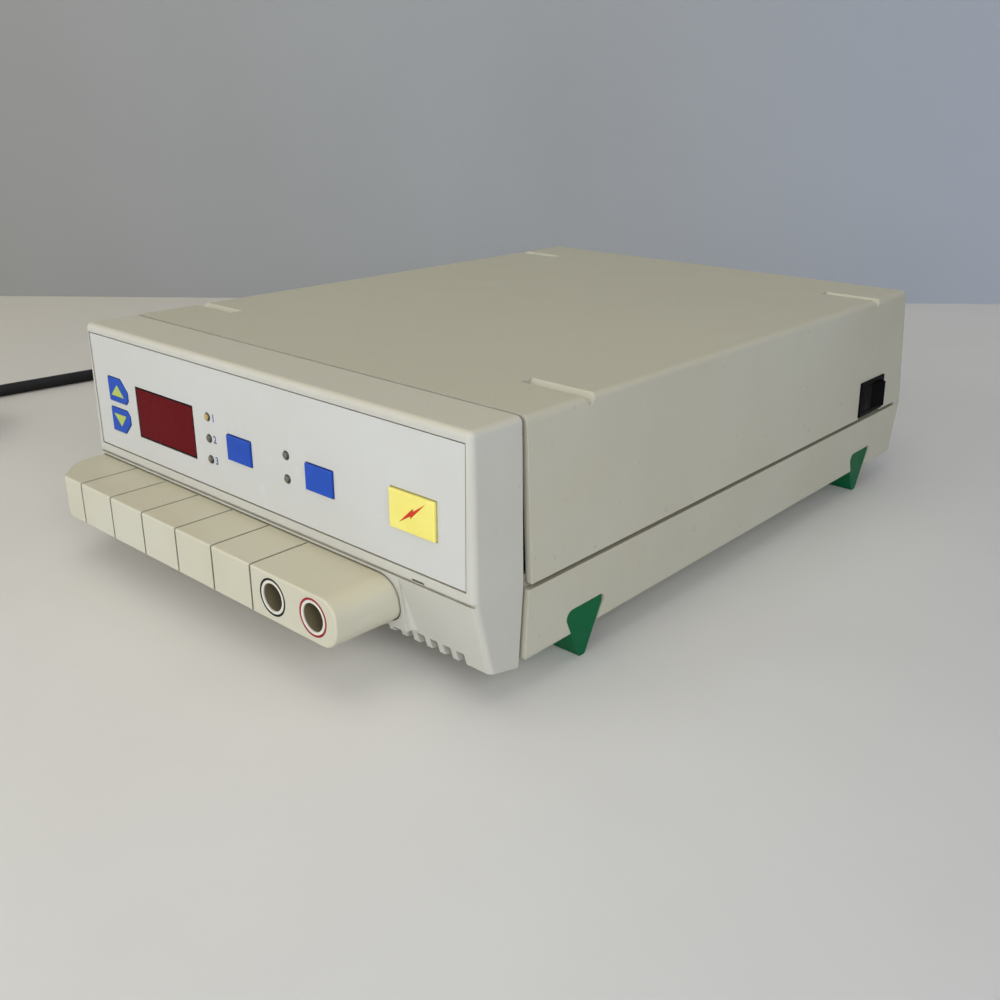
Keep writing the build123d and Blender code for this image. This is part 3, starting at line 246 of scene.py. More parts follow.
# a band is the pair of values between which a pattern goes from nothing to full
shellLook = {
    "colour": tone(191, 190, 176), "aged": tone(185, 182, 165), "cloudScale": 9.0, "cloudBand": (0.38, 0.66),
    # up-facing faces get a warmer tone: yellowing of the plastic, and painted warm light from above
    "sunnedAndToplit": tone(189, 185, 164), "sunnedAndToplitBand": (0.3, 0.95),
    # dirt is the tone of specks, dust and painted shade; grime is dust and painted shade in grooves and under
    # rims
    "dirtAndShade": tone(112, 105, 84), "speck": 0.35, "speckScale": 420.0, "speckBand": (0.70, 0.76),
    "shadeAndGrime": 0.55, "shadeAndGrimeReach": mm(4), "shadeAndGrimeBand": (0.75, 0.20),
    "rubbed": tone(212, 210, 198), "wear": 0.5, "wearReach": 1.6, "wearScale": 160.0,
    "wearBand": (0.42, 0.62), "edge": mm(0.35),
    "roughness": 0.55, "roughSpread": 0.07, "specular": 0.4,
    "grainScale": 1500.0, "grainStrength": 0.22, "grainDepth": mm(0.08),
}
bezelLook = dict(shellLook, colour=tone(194, 194, 186), aged=tone(189, 188, 179), speck=0.2, wear=0.6,
                 sunnedAndToplit=tone(199, 194, 176))
ledgeLook = dict(shellLook, colour=tone(199, 197, 181), aged=tone(193, 190, 170), cloudScale=14.0,
                 roughness=0.42, grainStrength=0.10, speck=0.12, edge=mm(0.3), dirtAndShade=tone(92, 82, 54),
                 shadeAndGrime=0.9, shadeAndGrimeReach=mm(1.6), sunnedAndToplit=tone(199, 193, 168))
# the socket's bore tone is painted shade inside its bores
socketLook = dict(ledgeLook, sunnedAndToplit=None, colour=tone(216, 215, 206), aged=tone(210, 208, 196),
                  roughness=0.34, boreShade=tone(112, 104, 80), boreFace=-24.0, boreShadeStart=mm(0.25),
                  boreShadeFull=mm(0.6))
keyLook = dict(shellLook, sunnedAndToplit=None, colour=tone(33, 78, 178), aged=tone(29, 72, 170),
               dirtAndShade=tone(20, 34, 80), rubbed=tone(98, 130, 212), cloudScale=60.0, speck=0.0, wear=0.5,
               edge=mm(0.3), roughness=0.42, shadeAndGrime=0.5, shadeAndGrimeReach=mm(2), grainScale=2600.0,
               grainStrength=0.10, specular=0.15)
pulseLook = dict(keyLook, colour=tone(236, 226, 126), aged=tone(232, 220, 115), dirtAndShade=tone(140, 120, 40),
                 rubbed=tone(247, 240, 165), specular=0.2)
footLook = dict(shellLook, sunnedAndToplit=None, colour=tone(9, 99, 61), aged=tone(7, 92, 55), dirtAndShade=tone(6, 56, 34),
                rubbed=tone(70, 160, 120), cloudScale=40.0, speck=0.0, roughness=0.42, shadeAndGrime=0.4,
                wear=0.3, grainScale=900.0, grainStrength=0.12, specular=0.1)
blackLook = dict(shellLook, sunnedAndToplit=None, colour=tone(4, 4, 5), aged=tone(7, 7, 8), dirtAndShade=tone(22, 21, 20),
                 rubbed=tone(34, 34, 34), cloudScale=50.0, speck=0.0, roughness=0.44, shadeAndGrime=0.2,
                 wear=0.2, grainScale=1800.0, grainStrength=0.10, specular=0.04)
ringBlackLook = dict(blackLook, colour=tone(12, 12, 13), aged=tone(17, 17, 17), wear=0.1, specular=0.2)
ringRedLook = dict(keyLook, colour=tone(160, 20, 48), aged=tone(150, 18, 42), dirtAndShade=tone(80, 10, 12),
                   rubbed=tone(205, 90, 90), roughness=0.36)
darkLook = dict(blackLook, specular=0.3, colour=tone(52, 52, 55), aged=tone(44, 44, 47), roughness=0.5)
boardLook = dict(keyLook, colour=tone(22, 92, 58), aged=tone(18, 80, 50), dirtAndShade=tone(12, 40, 26),
                 rubbed=tone(120, 130, 70), roughness=0.3)
capacitorLook = dict(shellLook, sunnedAndToplit=None, colour=tone(150, 154, 160), aged=tone(140, 144, 150),
                     roughness=0.45)
cordLook = dict(blackLook, specular=0.22, colour=tone(21, 21, 22), aged=tone(29, 29, 29), roughness=0.46,
                rubbed=tone(60, 60, 60), grainScale=2200.0, grainStrength=0.16, wear=0.0, edge=mm(0.2))

signGreenLook = dict(pulseLook, colour=tone(176, 194, 96), aged=tone(170, 188, 92), wear=0.0, shadeAndGrime=0.0)
signRedLook = dict(pulseLook, colour=tone(206, 62, 34), aged=tone(194, 52, 28), wear=0.0, shadeAndGrime=0.0)
signBlueLook = dict(keyLook, colour=tone(52, 68, 158), aged=tone(48, 62, 150), wear=0.0, shadeAndGrime=0.0)


panelLook = {
    "colour": tone(199, 201, 199), "aged": tone(196, 197, 194), "cloudScale": 16.0, "cloudBand": (0.36, 0.66),
    "rubbed": tone(205, 207, 206), "smear": 0.5, "smearScale": 70.0, "smearBand": (0.60, 0.72),
    "dirtAndShade": tone(140, 138, 128), "shadeAndGrime": 0.5, "shadeAndGrimeReach": mm(2.5), "shadeAndGrimeBand": (0.8, 0.3),
    "roughness": 0.36, "roughSpread": 0.08, "roughScale": 45.0, "specular": 0.45,
    "grainScale": 2400.0, "grainStrength": 0.06, "edge": mm(0.12),
}


def panelFilm(name, look):
    # a printed film over the panel: cool light grey, satin, with faint rubbed patches
    material, tree, shader = startMaterial(name)
    place = objectPlace(tree)
    cloud = spread(tree, grain(tree, place, look["cloudScale"], 5.0), *look["cloudBand"])
    colour = mixTones(tree, cloud, look["colour"], look["aged"])
    smear = grain(tree, place, look["smearScale"], 6.0, 0.7)
    smear = spread(tree, smear, *look["smearBand"], 0.0, look["smear"])
    colour = mixTones(tree, smear, colour, look["rubbed"])
    # dust and painted shade in the recesses round the panel's parts
    dustAndShade = spread(tree, creviceShade(tree, look["shadeAndGrimeReach"]), *look["shadeAndGrimeBand"], 0.0, look["shadeAndGrime"])
    colour = mixTones(tree, dustAndShade, colour, look["dirtAndShade"])
    tree.links.new(colour, shader.inputs["Base Color"])
    gloss = spread(tree, grain(tree, place, look["roughScale"], 6.0), *noiseBand,
                   look["roughness"] - look["roughSpread"], look["roughness"] + look["roughSpread"])
    tree.links.new(gloss, shader.inputs["Roughness"])
    shader.inputs["Specular IOR Level"].default_value = look["specular"]
    bumped(tree, shader, grain(tree, place, look["grainScale"], 2.0), look["grainStrength"], mm(0.05),
           roundedNormal(tree, look["edge"]))
    return material


windowLook = {
    "colour": tone(98, 10, 19), "aged": tone(92, 8, 16), "cloudScale": 30.0, "cloudBand": (0.35, 0.65),
    "rim": tone(14, 4, 6), "rimStart": mm(0.75), "rimFull": mm(0.45),
    "roughness": (0.2, 0.3), "roughScale": 120.0, "specular": 0.04,
    "grainScale": 300.0, "grainStrength": 0.03, "edge": mm(0.15),
}


def redFilter(name, look):
    # a dyed acrylic window: deep red, smooth, with a dark sealed rim all round
    material, tree, shader = startMaterial(name)
    place = objectPlace(tree)
    cloud = spread(tree, grain(tree, place, look["cloudScale"], 3.0), *look["cloudBand"])
    colour = mixTones(tree, cloud, look["colour"], look["aged"])
    low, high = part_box("display_window")
    middle = [(a + b) / 2 for a, b in zip(low, high)]
    shifted = addNode(tree, "VectorMath", operation="SUBTRACT")
    shifted.inputs[1].default_value = middle
    tree.links.new(place, shifted.inputs[0])
    sized = addNode(tree, "VectorMath", operation="ABSOLUTE")
    tree.links.new(shifted.outputs[0], sized.inputs[0])
    parts = addNode(tree, "SeparateXYZ")
    tree.links.new(sized.outputs[0], parts.inputs[0])
    for output, i in (("X", 0), ("Z", 2)):
        reach = high[i] - middle[i]
        rim = spread(tree, parts.outputs[output], reach - look["rimStart"], reach - look["rimFull"])
        colour = mixTones(tree, rim, colour, look["rim"])
    tree.links.new(colour, shader.inputs["Base Color"])
    gloss = spread(tree, grain(tree, place, look["roughScale"], 5.0), *noiseBand, *look["roughness"])
    tree.links.new(gloss, shader.inputs["Roughness"])
    shader.inputs["Specular IOR Level"].default_value = look["specular"]
    bumped(tree, shader, grain(tree, place, look["grainScale"], 2.0), look["grainStrength"], mm(0.05),
           roundedNormal(tree, look["edge"]))
    return material


def metal(name, look):
    # plated, brushed or turned metal: streaks along one axis and a patchy shine
    material, tree, shader = startMaterial(name)
    place = objectPlace(tree)
    stretch = addNode(tree, "Mapping")
    stretch.inputs["Scale"].default_value = look["streak"]
    tree.links.new(place, stretch.inputs["Vector"])
    lines = grain(tree, stretch.outputs["Vector"], look["streakScale"], 3.0)
    colour = mixTones(tree, spread(tree, lines, *noiseBand), look["colour"], look["aged"])
    # dirt and painted shade in the hollows of the metal
    dull = spread(tree, creviceShade(tree, look["shadeAndGrimeReach"]), *look["shadeAndGrimeBand"], 0.0, look["shadeAndGrime"])
    colour = mixTones(tree, dull, colour, look["dirtAndShade"])
    tree.links.new(colour, shader.inputs["Base Color"])
    gloss = spread(tree, grain(tree, place, look["roughScale"], 5.0), *noiseBand,
                   look["roughness"] - look["smoother"], look["roughness"] + look["rougher"])
    tree.links.new(gloss, shader.inputs["Roughness"])
    shader.inputs["Metallic"].default_value = look["metallic"]
    bumped(tree, shader, lines, look["lineStrength"], mm(0.05), roundedNormal(tree, look["edge"]))
    return material


brassLook = {
    "colour": tone(214, 180, 112), "aged": tone(196, 158, 92), "streak": (1, 12, 1), "streakScale": 400.0,
    "dirtAndShade": tone(96, 76, 44), "shadeAndGrime": 0.6, "shadeAndGrimeReach": mm(3), "shadeAndGrimeBand": (0.8, 0.2),
    "roughness": 0.28, "roughScale": 90.0, "smoother": 0.07, "rougher": 0.1,
    "metallic": 1.0, "lineStrength": 0.08, "edge": mm(0.2),
}
pinLook = dict(brassLook, colour=tone(196, 194, 186), aged=tone(178, 174, 164), streak=(1, 0.1, 1))
screwLook = dict(brassLook, colour=tone(188, 188, 188), aged=tone(166, 166, 166), streak=(1, 1, 1),
                 roughness=0.3)
rearLook = dict(brassLook, colour=tone(196, 196, 193), aged=tone(184, 184, 180), streak=(0.06, 1, 1),
                streakScale=1400.0, roughness=0.42, metallic=0.85, lineStrength=0.12)
ironLook = dict(brassLook, colour=tone(104, 92, 78), aged=tone(86, 76, 64), streak=(1, 14, 1),
                streakScale=120.0, roughness=0.5, metallic=0.4)
resistorLook = dict(brassLook, colour=tone(206, 186, 120), aged=tone(194, 172, 106), roughness=0.35,
                    metallic=0.9)


lampLook = {
    "dull": tone(104, 99, 82), "dullAged": tone(88, 84, 70), "cloudScale": 700.0, "cloudBand": (0.4, 0.6),
    # the rim tone is painted shade from the hole round each lens
    "clear": tone(188, 160, 92), "rim": tone(46, 44, 38), "rimStart": mm(0.85), "rimFull": mm(1.35),
    "roughness": (0.22, 0.36), "roughScale": 500.0, "grainScale": 900.0, "grainStrength": 0.05,
}

# x, face and z of the five lamps: three for the settings, two for the measurements
lampPlaces = [(-24.3, 0, 68.8), (-24.3, 0, 60.7), (-24.3, 0, 52.7), (20.5, 0, 64.8), (20.5, 0, 56.4)]


def lampLens(name, look):
    # diffused lenses, with painted shade at the rim from the hole round each lens; the first lamp of the
    # settings is a warmer, clearer one
    material, tree, shader = startMaterial(name)
    place = objectPlace(tree)
    flat = addNode(tree, "VectorMath", operation="MULTIPLY")
    flat.inputs[1].default_value = (1, 0, 1)
    tree.links.new(place, flat.inputs[0])
    nearest = None
    for x, face, z in lampPlaces:
        centre = at(x, face, z)
        gap = addNode(tree, "VectorMath", operation="DISTANCE")
        gap.inputs[1].default_value = (centre.x, 0, centre.z)
        tree.links.new(flat.outputs[0], gap.inputs[0])
        if nearest is None:
            nearest = gap.outputs["Value"]
            first = spread(tree, nearest, mm(4), mm(3))
        else:
            least = addNode(tree, "Math", operation="MINIMUM")
            tree.links.new(nearest, least.inputs[0])
            tree.links.new(gap.outputs["Value"], least.inputs[1])
            nearest = least.outputs[0]
    cloud = spread(tree, grain(tree, place, look["cloudScale"], 3.0), *look["cloudBand"])
    dull = mixTones(tree, cloud, look["dull"], look["dullAged"])
    colour = mixTones(tree, first, dull, look["clear"])
    # painted shade of the hole round each lens
    rim = spread(tree, nearest, look["rimStart"], look["rimFull"])
    colour = mixTones(tree, rim, colour, look["rim"])
    tree.links.new(colour, shader.inputs["Base Color"])
    gloss = spread(tree, grain(tree, place, look["roughScale"], 2.0), *noiseBand, *look["roughness"])
    tree.links.new(gloss, shader.inputs["Roughness"])
    bumped(tree, shader, grain(tree, place, look["grainScale"], 2.0), look["grainStrength"], mm(0.05))
    return material


fuseLook = {"colour": tone(214, 222, 220), "aged": tone(200, 208, 206), "roughness": (0.06, 0.14)}


def fuseGlass(name, look):
    material, tree, shader = startMaterial(name)
    place = objectPlace(tree)
    colour = mixTones(tree, spread(tree, grain(tree, place, 200.0), 0.4, 0.6), look["colour"], look["aged"])
    tree.links.new(colour, shader.inputs["Base Color"])
    gloss = spread(tree, grain(tree, place, 300.0), *noiseBand, *look["roughness"])
    tree.links.new(gloss, shader.inputs["Roughness"])
    return material


finishes = {
    "cream_shell": mouldedPlastic("creamShell", shellLook),
    "cream_bezel": mouldedPlastic("creamBezel", bezelLook),
    "cream_ledge": mouldedPlastic("creamLedge", ledgeLook),
    "socket_white": mouldedPlastic("socketWhite", socketLook),
    "panel_grey": panelFilm("panelFilm", panelLook),
    "display_red": redFilter("redFilter", windowLook),
    "dark_parts": mouldedPlastic("darkParts", darkLook),
    "board_green": mouldedPlastic("boardLacquer", boardLook),
    "key_blue": mouldedPlastic("keyBlue", keyLook),
    "key_yellow": mouldedPlastic("keyYellow", pulseLook),
    "lamp_lens": lampLens("lampLens", lampLook),
    "ring_black": mouldedPlastic("ringBlack", ringBlackLook),
    "ring_red": mouldedPlastic("ringRed", ringRedLook),
    "brass": metal("turnedBrass", brassLook),
    "foot_green": mouldedPlastic("footGreen", footLook),
    "black_plastic": mouldedPlastic("blackPlastic", blackLook),
    "rear_metal": metal("brushedPanel", rearLook),
    "screw_steel": metal("platedScrew", screwLook),
    "pin_metal": metal("platedPin", pinLook),
    "fuse_glass": fuseGlass("fuseGlass", fuseLook),
    "capacitor_case": mouldedPlastic("capacitorCase", capacitorLook),
    "transformer_iron": metal("varnishedIron", ironLook),
    "resistor_metal": metal("anodisedResistor", resistorLook),
    "cord_rubber": mouldedPlastic("cordRubber", cordLook),
    "signGreen": mouldedPlastic("signGreen", signGreenLook),
    "signRed": mouldedPlastic("signRed", signRedLook),
    "signBlue": mouldedPlastic("signBlue", signBlueLook),
}
slotOf = {part["node"]: part["material_slot"] for part in frame["record"]["subparts"]}


def dress(piece, finish):
    piece.data.materials.clear()
    piece.data.materials.append(finish)


for nodeName, node in frame["nodes"].items():
    dress(node, finishes[slotOf[nodeName]])
print("materials on every node")


# building helpers
def finished(name, shape, finish, body, *nodes):
    # turns a shape into an object with outward faces that rides on its body
    bmesh.ops.recalc_face_normals(shape, faces=shape.faces)
    mesh = bpy.data.meshes.new(name)
    shape.to_mesh(mesh)
    shape.free()
    piece = bpy.data.objects.new(name, mesh)
    bpy.context.scene.collection.objects.link(piece)
    dress(piece, finishes[finish])
    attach(piece, body)
    if nodes:
        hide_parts(*nodes)
    return piece


def absorb(shape, part):
    # adds a finished part of a piece to that piece
    mesh = bpy.data.meshes.new("part")
    part.to_mesh(mesh)
    part.free()
    shape.from_mesh(mesh)
    bpy.data.meshes.remove(mesh)


def plate(shape, outline, depth):
    # a flat outline made a thin plate: its face first, then its thickness
    face = shape.faces.new([shape.verts.new(point) for point in outline])
    grown = bmesh.ops.extrude_face_region(shape, geom=[face])
    moved = [part for part in grown["geom"] if isinstance(part, bmesh.types.BMVert)]
    bmesh.ops.translate(shape, verts=moved, vec=depth)
    return face


def turned(profile, centre, axis, steps):
    # a profile line spun once round an axis
    part = bmesh.new()
    points = [part.verts.new(point) for point in profile]
    line = [part.edges.new(pair) for pair in zip(points, points[1:])]
    bmesh.ops.spin(part, geom=points + line, cent=centre, axis=axis, angle=2 * math.pi, steps=steps,
                   use_merge=True, use_duplicate=False)
    bmesh.ops.remove_doubles(part, verts=part.verts, dist=1e-6)
    return part


def softened(part, edges, offset, segments):
    bmesh.ops.bevel(part, geom=edges, offset=offset, offset_type="OFFSET", segments=segments, profile=0.5,
                    affect="EDGES", material=-1)


def alongY(edge):
    return abs(edge.verts[0].co.y - edge.verts[1].co.y) > 1e-5


# signs on the keys
signs = {
    "sunk": 0.1,
    "proud": 0.05,
    "arrowFace": -0.5,
    "pulseFace": -1.1,
    "up": [(-90.2, 64.4), (-81.0, 64.4), (-85.5, 69.1)],
    "down": [(-90.1, 57.0), (-85.3, 52.1), (-80.9, 57.0)],
    "bolt": [(75.9, 57.0), (80.9, 60.1), (80.9, 59.3), (87.3, 65.5), (82.2, 62.0), (82.1, 62.9)],
}


def printSign(name, outline, face, finish, body):
    shape = bmesh.new()
    back = face + signs["sunk"]
    plate(shape, [at(x, back, z) for x, z in outline], (0, -mm(signs["sunk"] + signs["proud"]), 0))
    finished(name, shape, finish, body)


printSign("upSign", signs["up"], signs["arrowFace"], "signGreen", "up_key")
printSign("downSign", signs["down"], signs["arrowFace"], "signGreen", "down_key")
printSign("pulseSign", signs["bolt"], signs["pulseFace"], "signRed", "pulse_key")
print("key signs printed")


# lamp lenses: round domes over the panel, with their stems back to the board
lens = {
    "radius": 1.5,
    "dome": 0.65,
    "rim": 0.12,
    "back": 12.4,
    "steps": 28,
    "domeSteps": 5,
}


def mountLenses():
    shape = bmesh.new()
    for x, face, z in lampPlaces:
        profile = []
        for i in range(lens["domeSteps"] + 1):
            angle = math.pi / 2 * i / lens["domeSteps"]
            y = face - lens["rim"] - lens["dome"] * math.cos(angle)
            profile.append(at(x + lens["radius"] * math.sin(angle), y, z))
        profile += [at(x + lens["radius"], lens["back"], z), at(x, lens["back"], z)]
        absorb(shape, turned(profile, at(x, face, z), (0, 1, 0), lens["steps"]))
    finished("lampLenses", shape, "lamp_lens", "instrument", "indicator_lamps")


mountLenses()
print("lamp lenses mounted")


# numbers beside the three lamps of the settings
numbers = {
    "words": ("1", "2", "3"),
    "size": 4.0,
    "gap": 2.5,
    "weight": 0.07,
    "proud": 0.02,
}


def printNumber(word, place):
    letter = bpy.data.curves.new("number" + word, "FONT")
    letter.body = word
    letter.size = mm(numbers["size"])
    letter.offset = mm(numbers["weight"])
    letter.align_x = "LEFT"
    letter.align_y = "CENTER"
    letter.extrude = mm(numbers["proud"])
    drawn = bpy.data.objects.new("number" + word, letter)
    bpy.context.scene.collection.objects.link(drawn)
    layer = bpy.context.evaluated_depsgraph_get()
    layer.update()
    mesh = bpy.data.meshes.new_from_object(drawn.evaluated_get(layer))
    bpy.data.objects.remove(drawn)
    shape = bmesh.new()
    shape.from_mesh(mesh)
    bpy.data.meshes.remove(mesh)
    bmesh.ops.remove_doubles(shape, verts=shape.verts, dist=1e-7)
    upright = Matrix.Rotation(math.radians(90), 4, "X")
    placed = Matrix.Translation(at(place[0] + numbers["gap"], 0, place[2]))
    bmesh.ops.transform(shape, matrix=placed @ upright, verts=shape.verts)
    finished("number" + word, shape, "signBlue", "instrument")


for word, place in zip(numbers["words"], lampPlaces):
    printNumber(word, place)
print("numbers printed")


# dark comb in the slit over the lip
slit = {
    "left": 80.1,
    "right": 85.3,
    "low": 38.5,
    "high": 39.05,
    "front": -0.05,
    "middle": 0.5,
    "back": 1.6,
    "teeth": 5,
    "toothShare": 0.62,
}


def fillSlit():
    pitch = (slit["right"] - slit["left"]) / slit["teeth"]
    half = pitch * slit["toothShare"] / 2
    outline = [(slit["left"], slit["back"]), (slit["left"], slit["middle"])]
    for i in range(slit["teeth"]):
        x = slit["left"] + pitch * (i + 0.5)
        outline += [(x - half, slit["middle"]), (x - half, slit["front"]),
                    (x + half, slit["front"]), (x + half, slit["middle"])]
    outline += [(slit["right"], slit["middle"]), (slit["right"], slit["back"])]
    shape = bmesh.new()
    plate(shape, [at(x, y, slit["low"]) for x, y in outline], (0, 0, mm(slit["high"] - slit["low"])))
    finished("slitComb", shape, "black_plastic", "instrument")


fillSlit()
print("slit comb fitted")


# screws with a cross recess
screws = {
    "rear": {"radius": 2.8, "height": 1.8, "shank": 1.3, "length": 7.6},
    "case": {"radius": 3.4, "height": 2.0, "shank": 1.8, "length": 23.4},
    "steps": 28,
    "crown": [(1.0, 0.45), (0.9, 0.8), (0.66, 1.0)],
    "arm": 0.13,
    "reach": 0.5,
    "depth": 0.6,
}


def crossScrew(size, centre, out):
    # drawn with its seat at z = 0 and its head up, then turned to face out
    # widths of the crown and the cross are shares of the head's radius, heights are shares of its height
    radius, height, shank, length = (mm(size[k]) for k in ("radius", "height", "shank", "length"))
    profile = [(0, 0, -length), (shank, 0, -length), (shank, 0, 0), (radius, 0, 0)]
    profile += [(wide * radius, 0, up * height) for wide, up in screws["crown"]]
    screw = turned(profile, (0, 0, 0), (0, 0, 1), screws["steps"])
    a, r = screws["arm"] * radius, screws["reach"] * radius
    cross = [(a, -r), (a, -a), (r, -a), (r, a), (a, a), (a, r),
             (-a, r), (-a, a), (-r, a), (-r, -a), (-a, -a), (-a, -r)]
    lid = plate(screw, [(x, y, height) for x, y in cross], (0, 0, -height * screws["depth"]))
    bmesh.ops.delete(screw, geom=[lid], context="FACES_ONLY")
    rims = [edge for edge in screw.edges if edge.is_boundary]
    bmesh.ops.triangle_fill(screw, use_beauty=True, edges=rims)
    facing = Vector(out).to_track_quat("Z", "Y").to_matrix().to_4x4()
    bmesh.ops.transform(screw, matrix=Matrix.Translation(centre) @ facing, verts=screw.verts)
    return screw


def driveScrews():
    low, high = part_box("rear_panel_screws")
    edge = mm(screws["rear"]["radius"])
    seat = high.y - mm(screws["rear"]["height"])
    shape = bmesh.new()
    for x in (low.x + edge, high.x - edge):
        absorb(shape, crossScrew(screws["rear"], Vector((x, seat, (low.z + high.z) / 2)), (0, 1, 0)))
    finished("rearScrews", shape, "screw_steel", "instrument", "rear_panel_screws")
    low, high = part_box("case_screws")
    edge = mm(screws["case"]["radius"])
    seat = low.z + mm(screws["case"]["height"])
    shape = bmesh.new()
    for x in (low.x + edge, high.x - edge):
        for y in (low.y + edge, high.y - edge):
            absorb(shape, crossScrew(screws["case"], Vector((x, y, seat)), (0, 0, -1)))
    finished("caseScrews", shape, "screw_steel", "instrument", "case_screws")


driveScrews()
print("screws driven")


# grip bands and flex rings on the connector and the plug of the cord
grips = {
    "connector": {"width": 27.0, "height": 18.6, "length": 23.7, "first": 4.5, "pitch": 3.2, "count": 5,
                  "line": (-55.0, 50.0)},
    "plug": {"width": 27.0, "height": 21.6, "length": 0.0, "first": 8.0, "pitch": 3.6, "count": 6},
    "corner": 3.0,
    "band": 1.5,
    "proud": 0.45,
    "slope": 0.35,
    "reliefLength": 26.0,
    "reliefRoot": 7.0,
    "reliefEnd": 4.4,
    "rings": 6,
    "ringWidth": 1.9,
    "ringProud": 0.4,
    "ringsFrom": 3.0,
    "steps": 28,
}


def gripBand(grip, centre):
    # a slab through the grip that stands a little out of it, with rounded corners and sloped rims
    size = (grip["width"] + 2 * grips["proud"], grips["band"], grip["height"] + 2 * grips["proud"])
    part = bmesh.new()
    bmesh.ops.create_cube(part, size=1.0, matrix=Matrix.Translation(at(*centre))
                          @ Matrix.Diagonal((*(mm(value) for value in size), 1)))
    softened(part, [edge for edge in part.edges if alongY(edge)], mm(grips["corner"]), 4)
    softened(part, [edge for edge in part.edges if not alongY(edge)], mm(grips["slope"]), 1)
    return part


def flexRing(radius, centre):
    part = bmesh.new()
    lying = Matrix.Translation(at(*centre)) @ Matrix.Rotation(math.radians(90), 4, "X")
    bmesh.ops.create_cone(part, cap_ends=True, segments=grips["steps"], radius1=mm(radius),
                          radius2=mm(radius), depth=mm(grips["ringWidth"]), matrix=lying)
    softened(part, [edge for edge in part.edges if not alongY(edge)], mm(grips["slope"]), 1)
    return part


def ribbed(name, node, grip):
    # a grip's line is the x and z of its middle; without one it is under the top of its node
    shape = bmesh.new()
    low, high = (Vector(corner) * 1000 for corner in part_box(node))
    shift = Vector((*originShift, 0)) * 1000
    relief = high.y - shift.y - grips["reliefLength"]
    start = relief - grip["length"] if grip["length"] else low.y - shift.y
    x, z = grip.get("line", ((low.x + high.x) / 2 - shift.x, high.z - grip["height"] / 2))
    for i in range(grip["count"]):
        absorb(shape, gripBand(grip, (x, start + grip["first"] + i * grip["pitch"], z)))
    pitch = (grips["reliefLength"] - grips["ringsFrom"]) / grips["rings"]
    for i in range(grips["rings"]):
        along = grips["ringsFrom"] + i * pitch
        share = along / grips["reliefLength"]
        radius = grips["reliefRoot"] + (grips["reliefEnd"] - grips["reliefRoot"]) * share
        absorb(shape, flexRing(radius + grips["ringProud"], (x, relief + along, z)))
    return finished(name, shape, "cord_rubber", "instrument")


connectorRibs = ribbed("connectorRibs", "mains_connector", grips["connector"])
plugRibs = ribbed("plugRibs", "mains_plug", grips["plug"])
print("connector and plug ribbed")


# mains cord
cordShape = {
    "diameter": 7.0,
    "length": 1.66,
    "route": [(-55, 351, 50), (-55, 399, 50), (-89, 443, 3.5), (-163, 454, 3.5), (-232, 428, 3.5),
              (-296, 374, 3.5), (-331, 300, 3.5), (-337, 218, 3.5), (-343.5, 136, 3.5), (-352, 36, 3.5)],
    "coilCentre": (-307, -15),
    "coilRadius": 45.0,
    "coilGap": 0.6,
    "quartersDown": 8,
    "quartersUp": 6,
    "tail": 26.0,
    "stepsPerQuarter": 3,
    "tieInner": 25.2,
    "tieOuter": 45.8,
    "tieHeight": 15.6,
    "tieWidth": 11.0,
    "tieThick": 0.8,
    "tieCorner": 3.2,
}


def coilPoint(quarter):
    # one point of the coil after so many quarter turns: in on the table, up, and out on top
    pitch = cordShape["diameter"] + cordShape["coilGap"]
    climb = cordShape["quartersDown"]
    turn = climb + 1
    inner = cordShape["coilRadius"] - pitch * turn / 4
    radius = inner + pitch * abs(quarter - turn) / 4
    rise = min(max((quarter - climb) / 2, 0), 1)
    angle = math.pi + quarter * math.pi / 2
    # control points stand outside the line that they pull, by this much on a round turn
    radius /= math.cos(math.pi / 4 / cordShape["stepsPerQuarter"])
    x, y = cordShape["coilCentre"]
    return (x + radius * math.cos(angle), y + radius * math.sin(angle),
            cordShape["diameter"] / 2 + pitch * rise)


def layCord():
    quarters = cordShape["quartersDown"] + cordShape["quartersUp"] + 2
    steps = quarters * cordShape["stepsPerQuarter"]
    points = list(cordShape["route"])
    for step in range(steps + 1):
        points.append(coilPoint(step / cordShape["stepsPerQuarter"]))
    last = points[-1]
    points.append((last[0], last[1] - cordShape["tail"], last[2]))
    line = bpy.data.curves.new("cordLine", "CURVE")
    line.dimensions = "3D"
    spline = line.splines.new("NURBS")
    spline.points.add(len(points) - 1)
    for point, place in zip(spline.points, points):
        point.co = (*at(*place), 1.0)
    spline.order_u = 3
    spline.use_endpoint_u = True
    spline.resolution_u = 10
    line.bevel_depth = mm(cordShape["diameter"] / 2)
    line.bevel_resolution = 5
    line.use_fill_caps = True
    cord = bpy.data.objects.new("mainsCord", line)
    bpy.context.scene.collection.objects.link(cord)
    dress(cord, finishes["cord_rubber"])
    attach(cord, "instrument")
    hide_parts("cord_run", "cord_coil")
    return cord


def tieCoil():
    # a flat tie round the turns of the coil, on the side towards the case
    x, y = cordShape["coilCentre"]
    wide = cordShape["tieOuter"] - cordShape["tieInner"]
    middle = (x + (cordShape["tieOuter"] + cordShape["tieInner"]) / 2, y, cordShape["tieHeight"] / 2)
    shape = bmesh.new()
    bmesh.ops.create_cube(shape, size=1.0, matrix=Matrix.Translation(at(*middle)) @ Matrix.Diagonal(
        (mm(wide), mm(cordShape["tieWidth"]), mm(cordShape["tieHeight"]), 1)))
    softened(shape, [edge for edge in shape.edges if alongY(edge)], mm(cordShape["tieCorner"]), 4)
    ends = [face for face in shape.faces if abs(face.normal.y) > 0.9]
    bmesh.ops.delete(shape, geom=ends, context="FACES_ONLY")
    bmesh.ops.recalc_face_normals(shape, faces=shape.faces)
    bmesh.ops.solidify(shape, geom=shape.faces, thickness=mm(cordShape["tieThick"]))
    return finished("coilTie", shape, "cord_rubber", "instrument")


mainsCord = layCord()
coilTie = tieCoil()
print("cord laid")


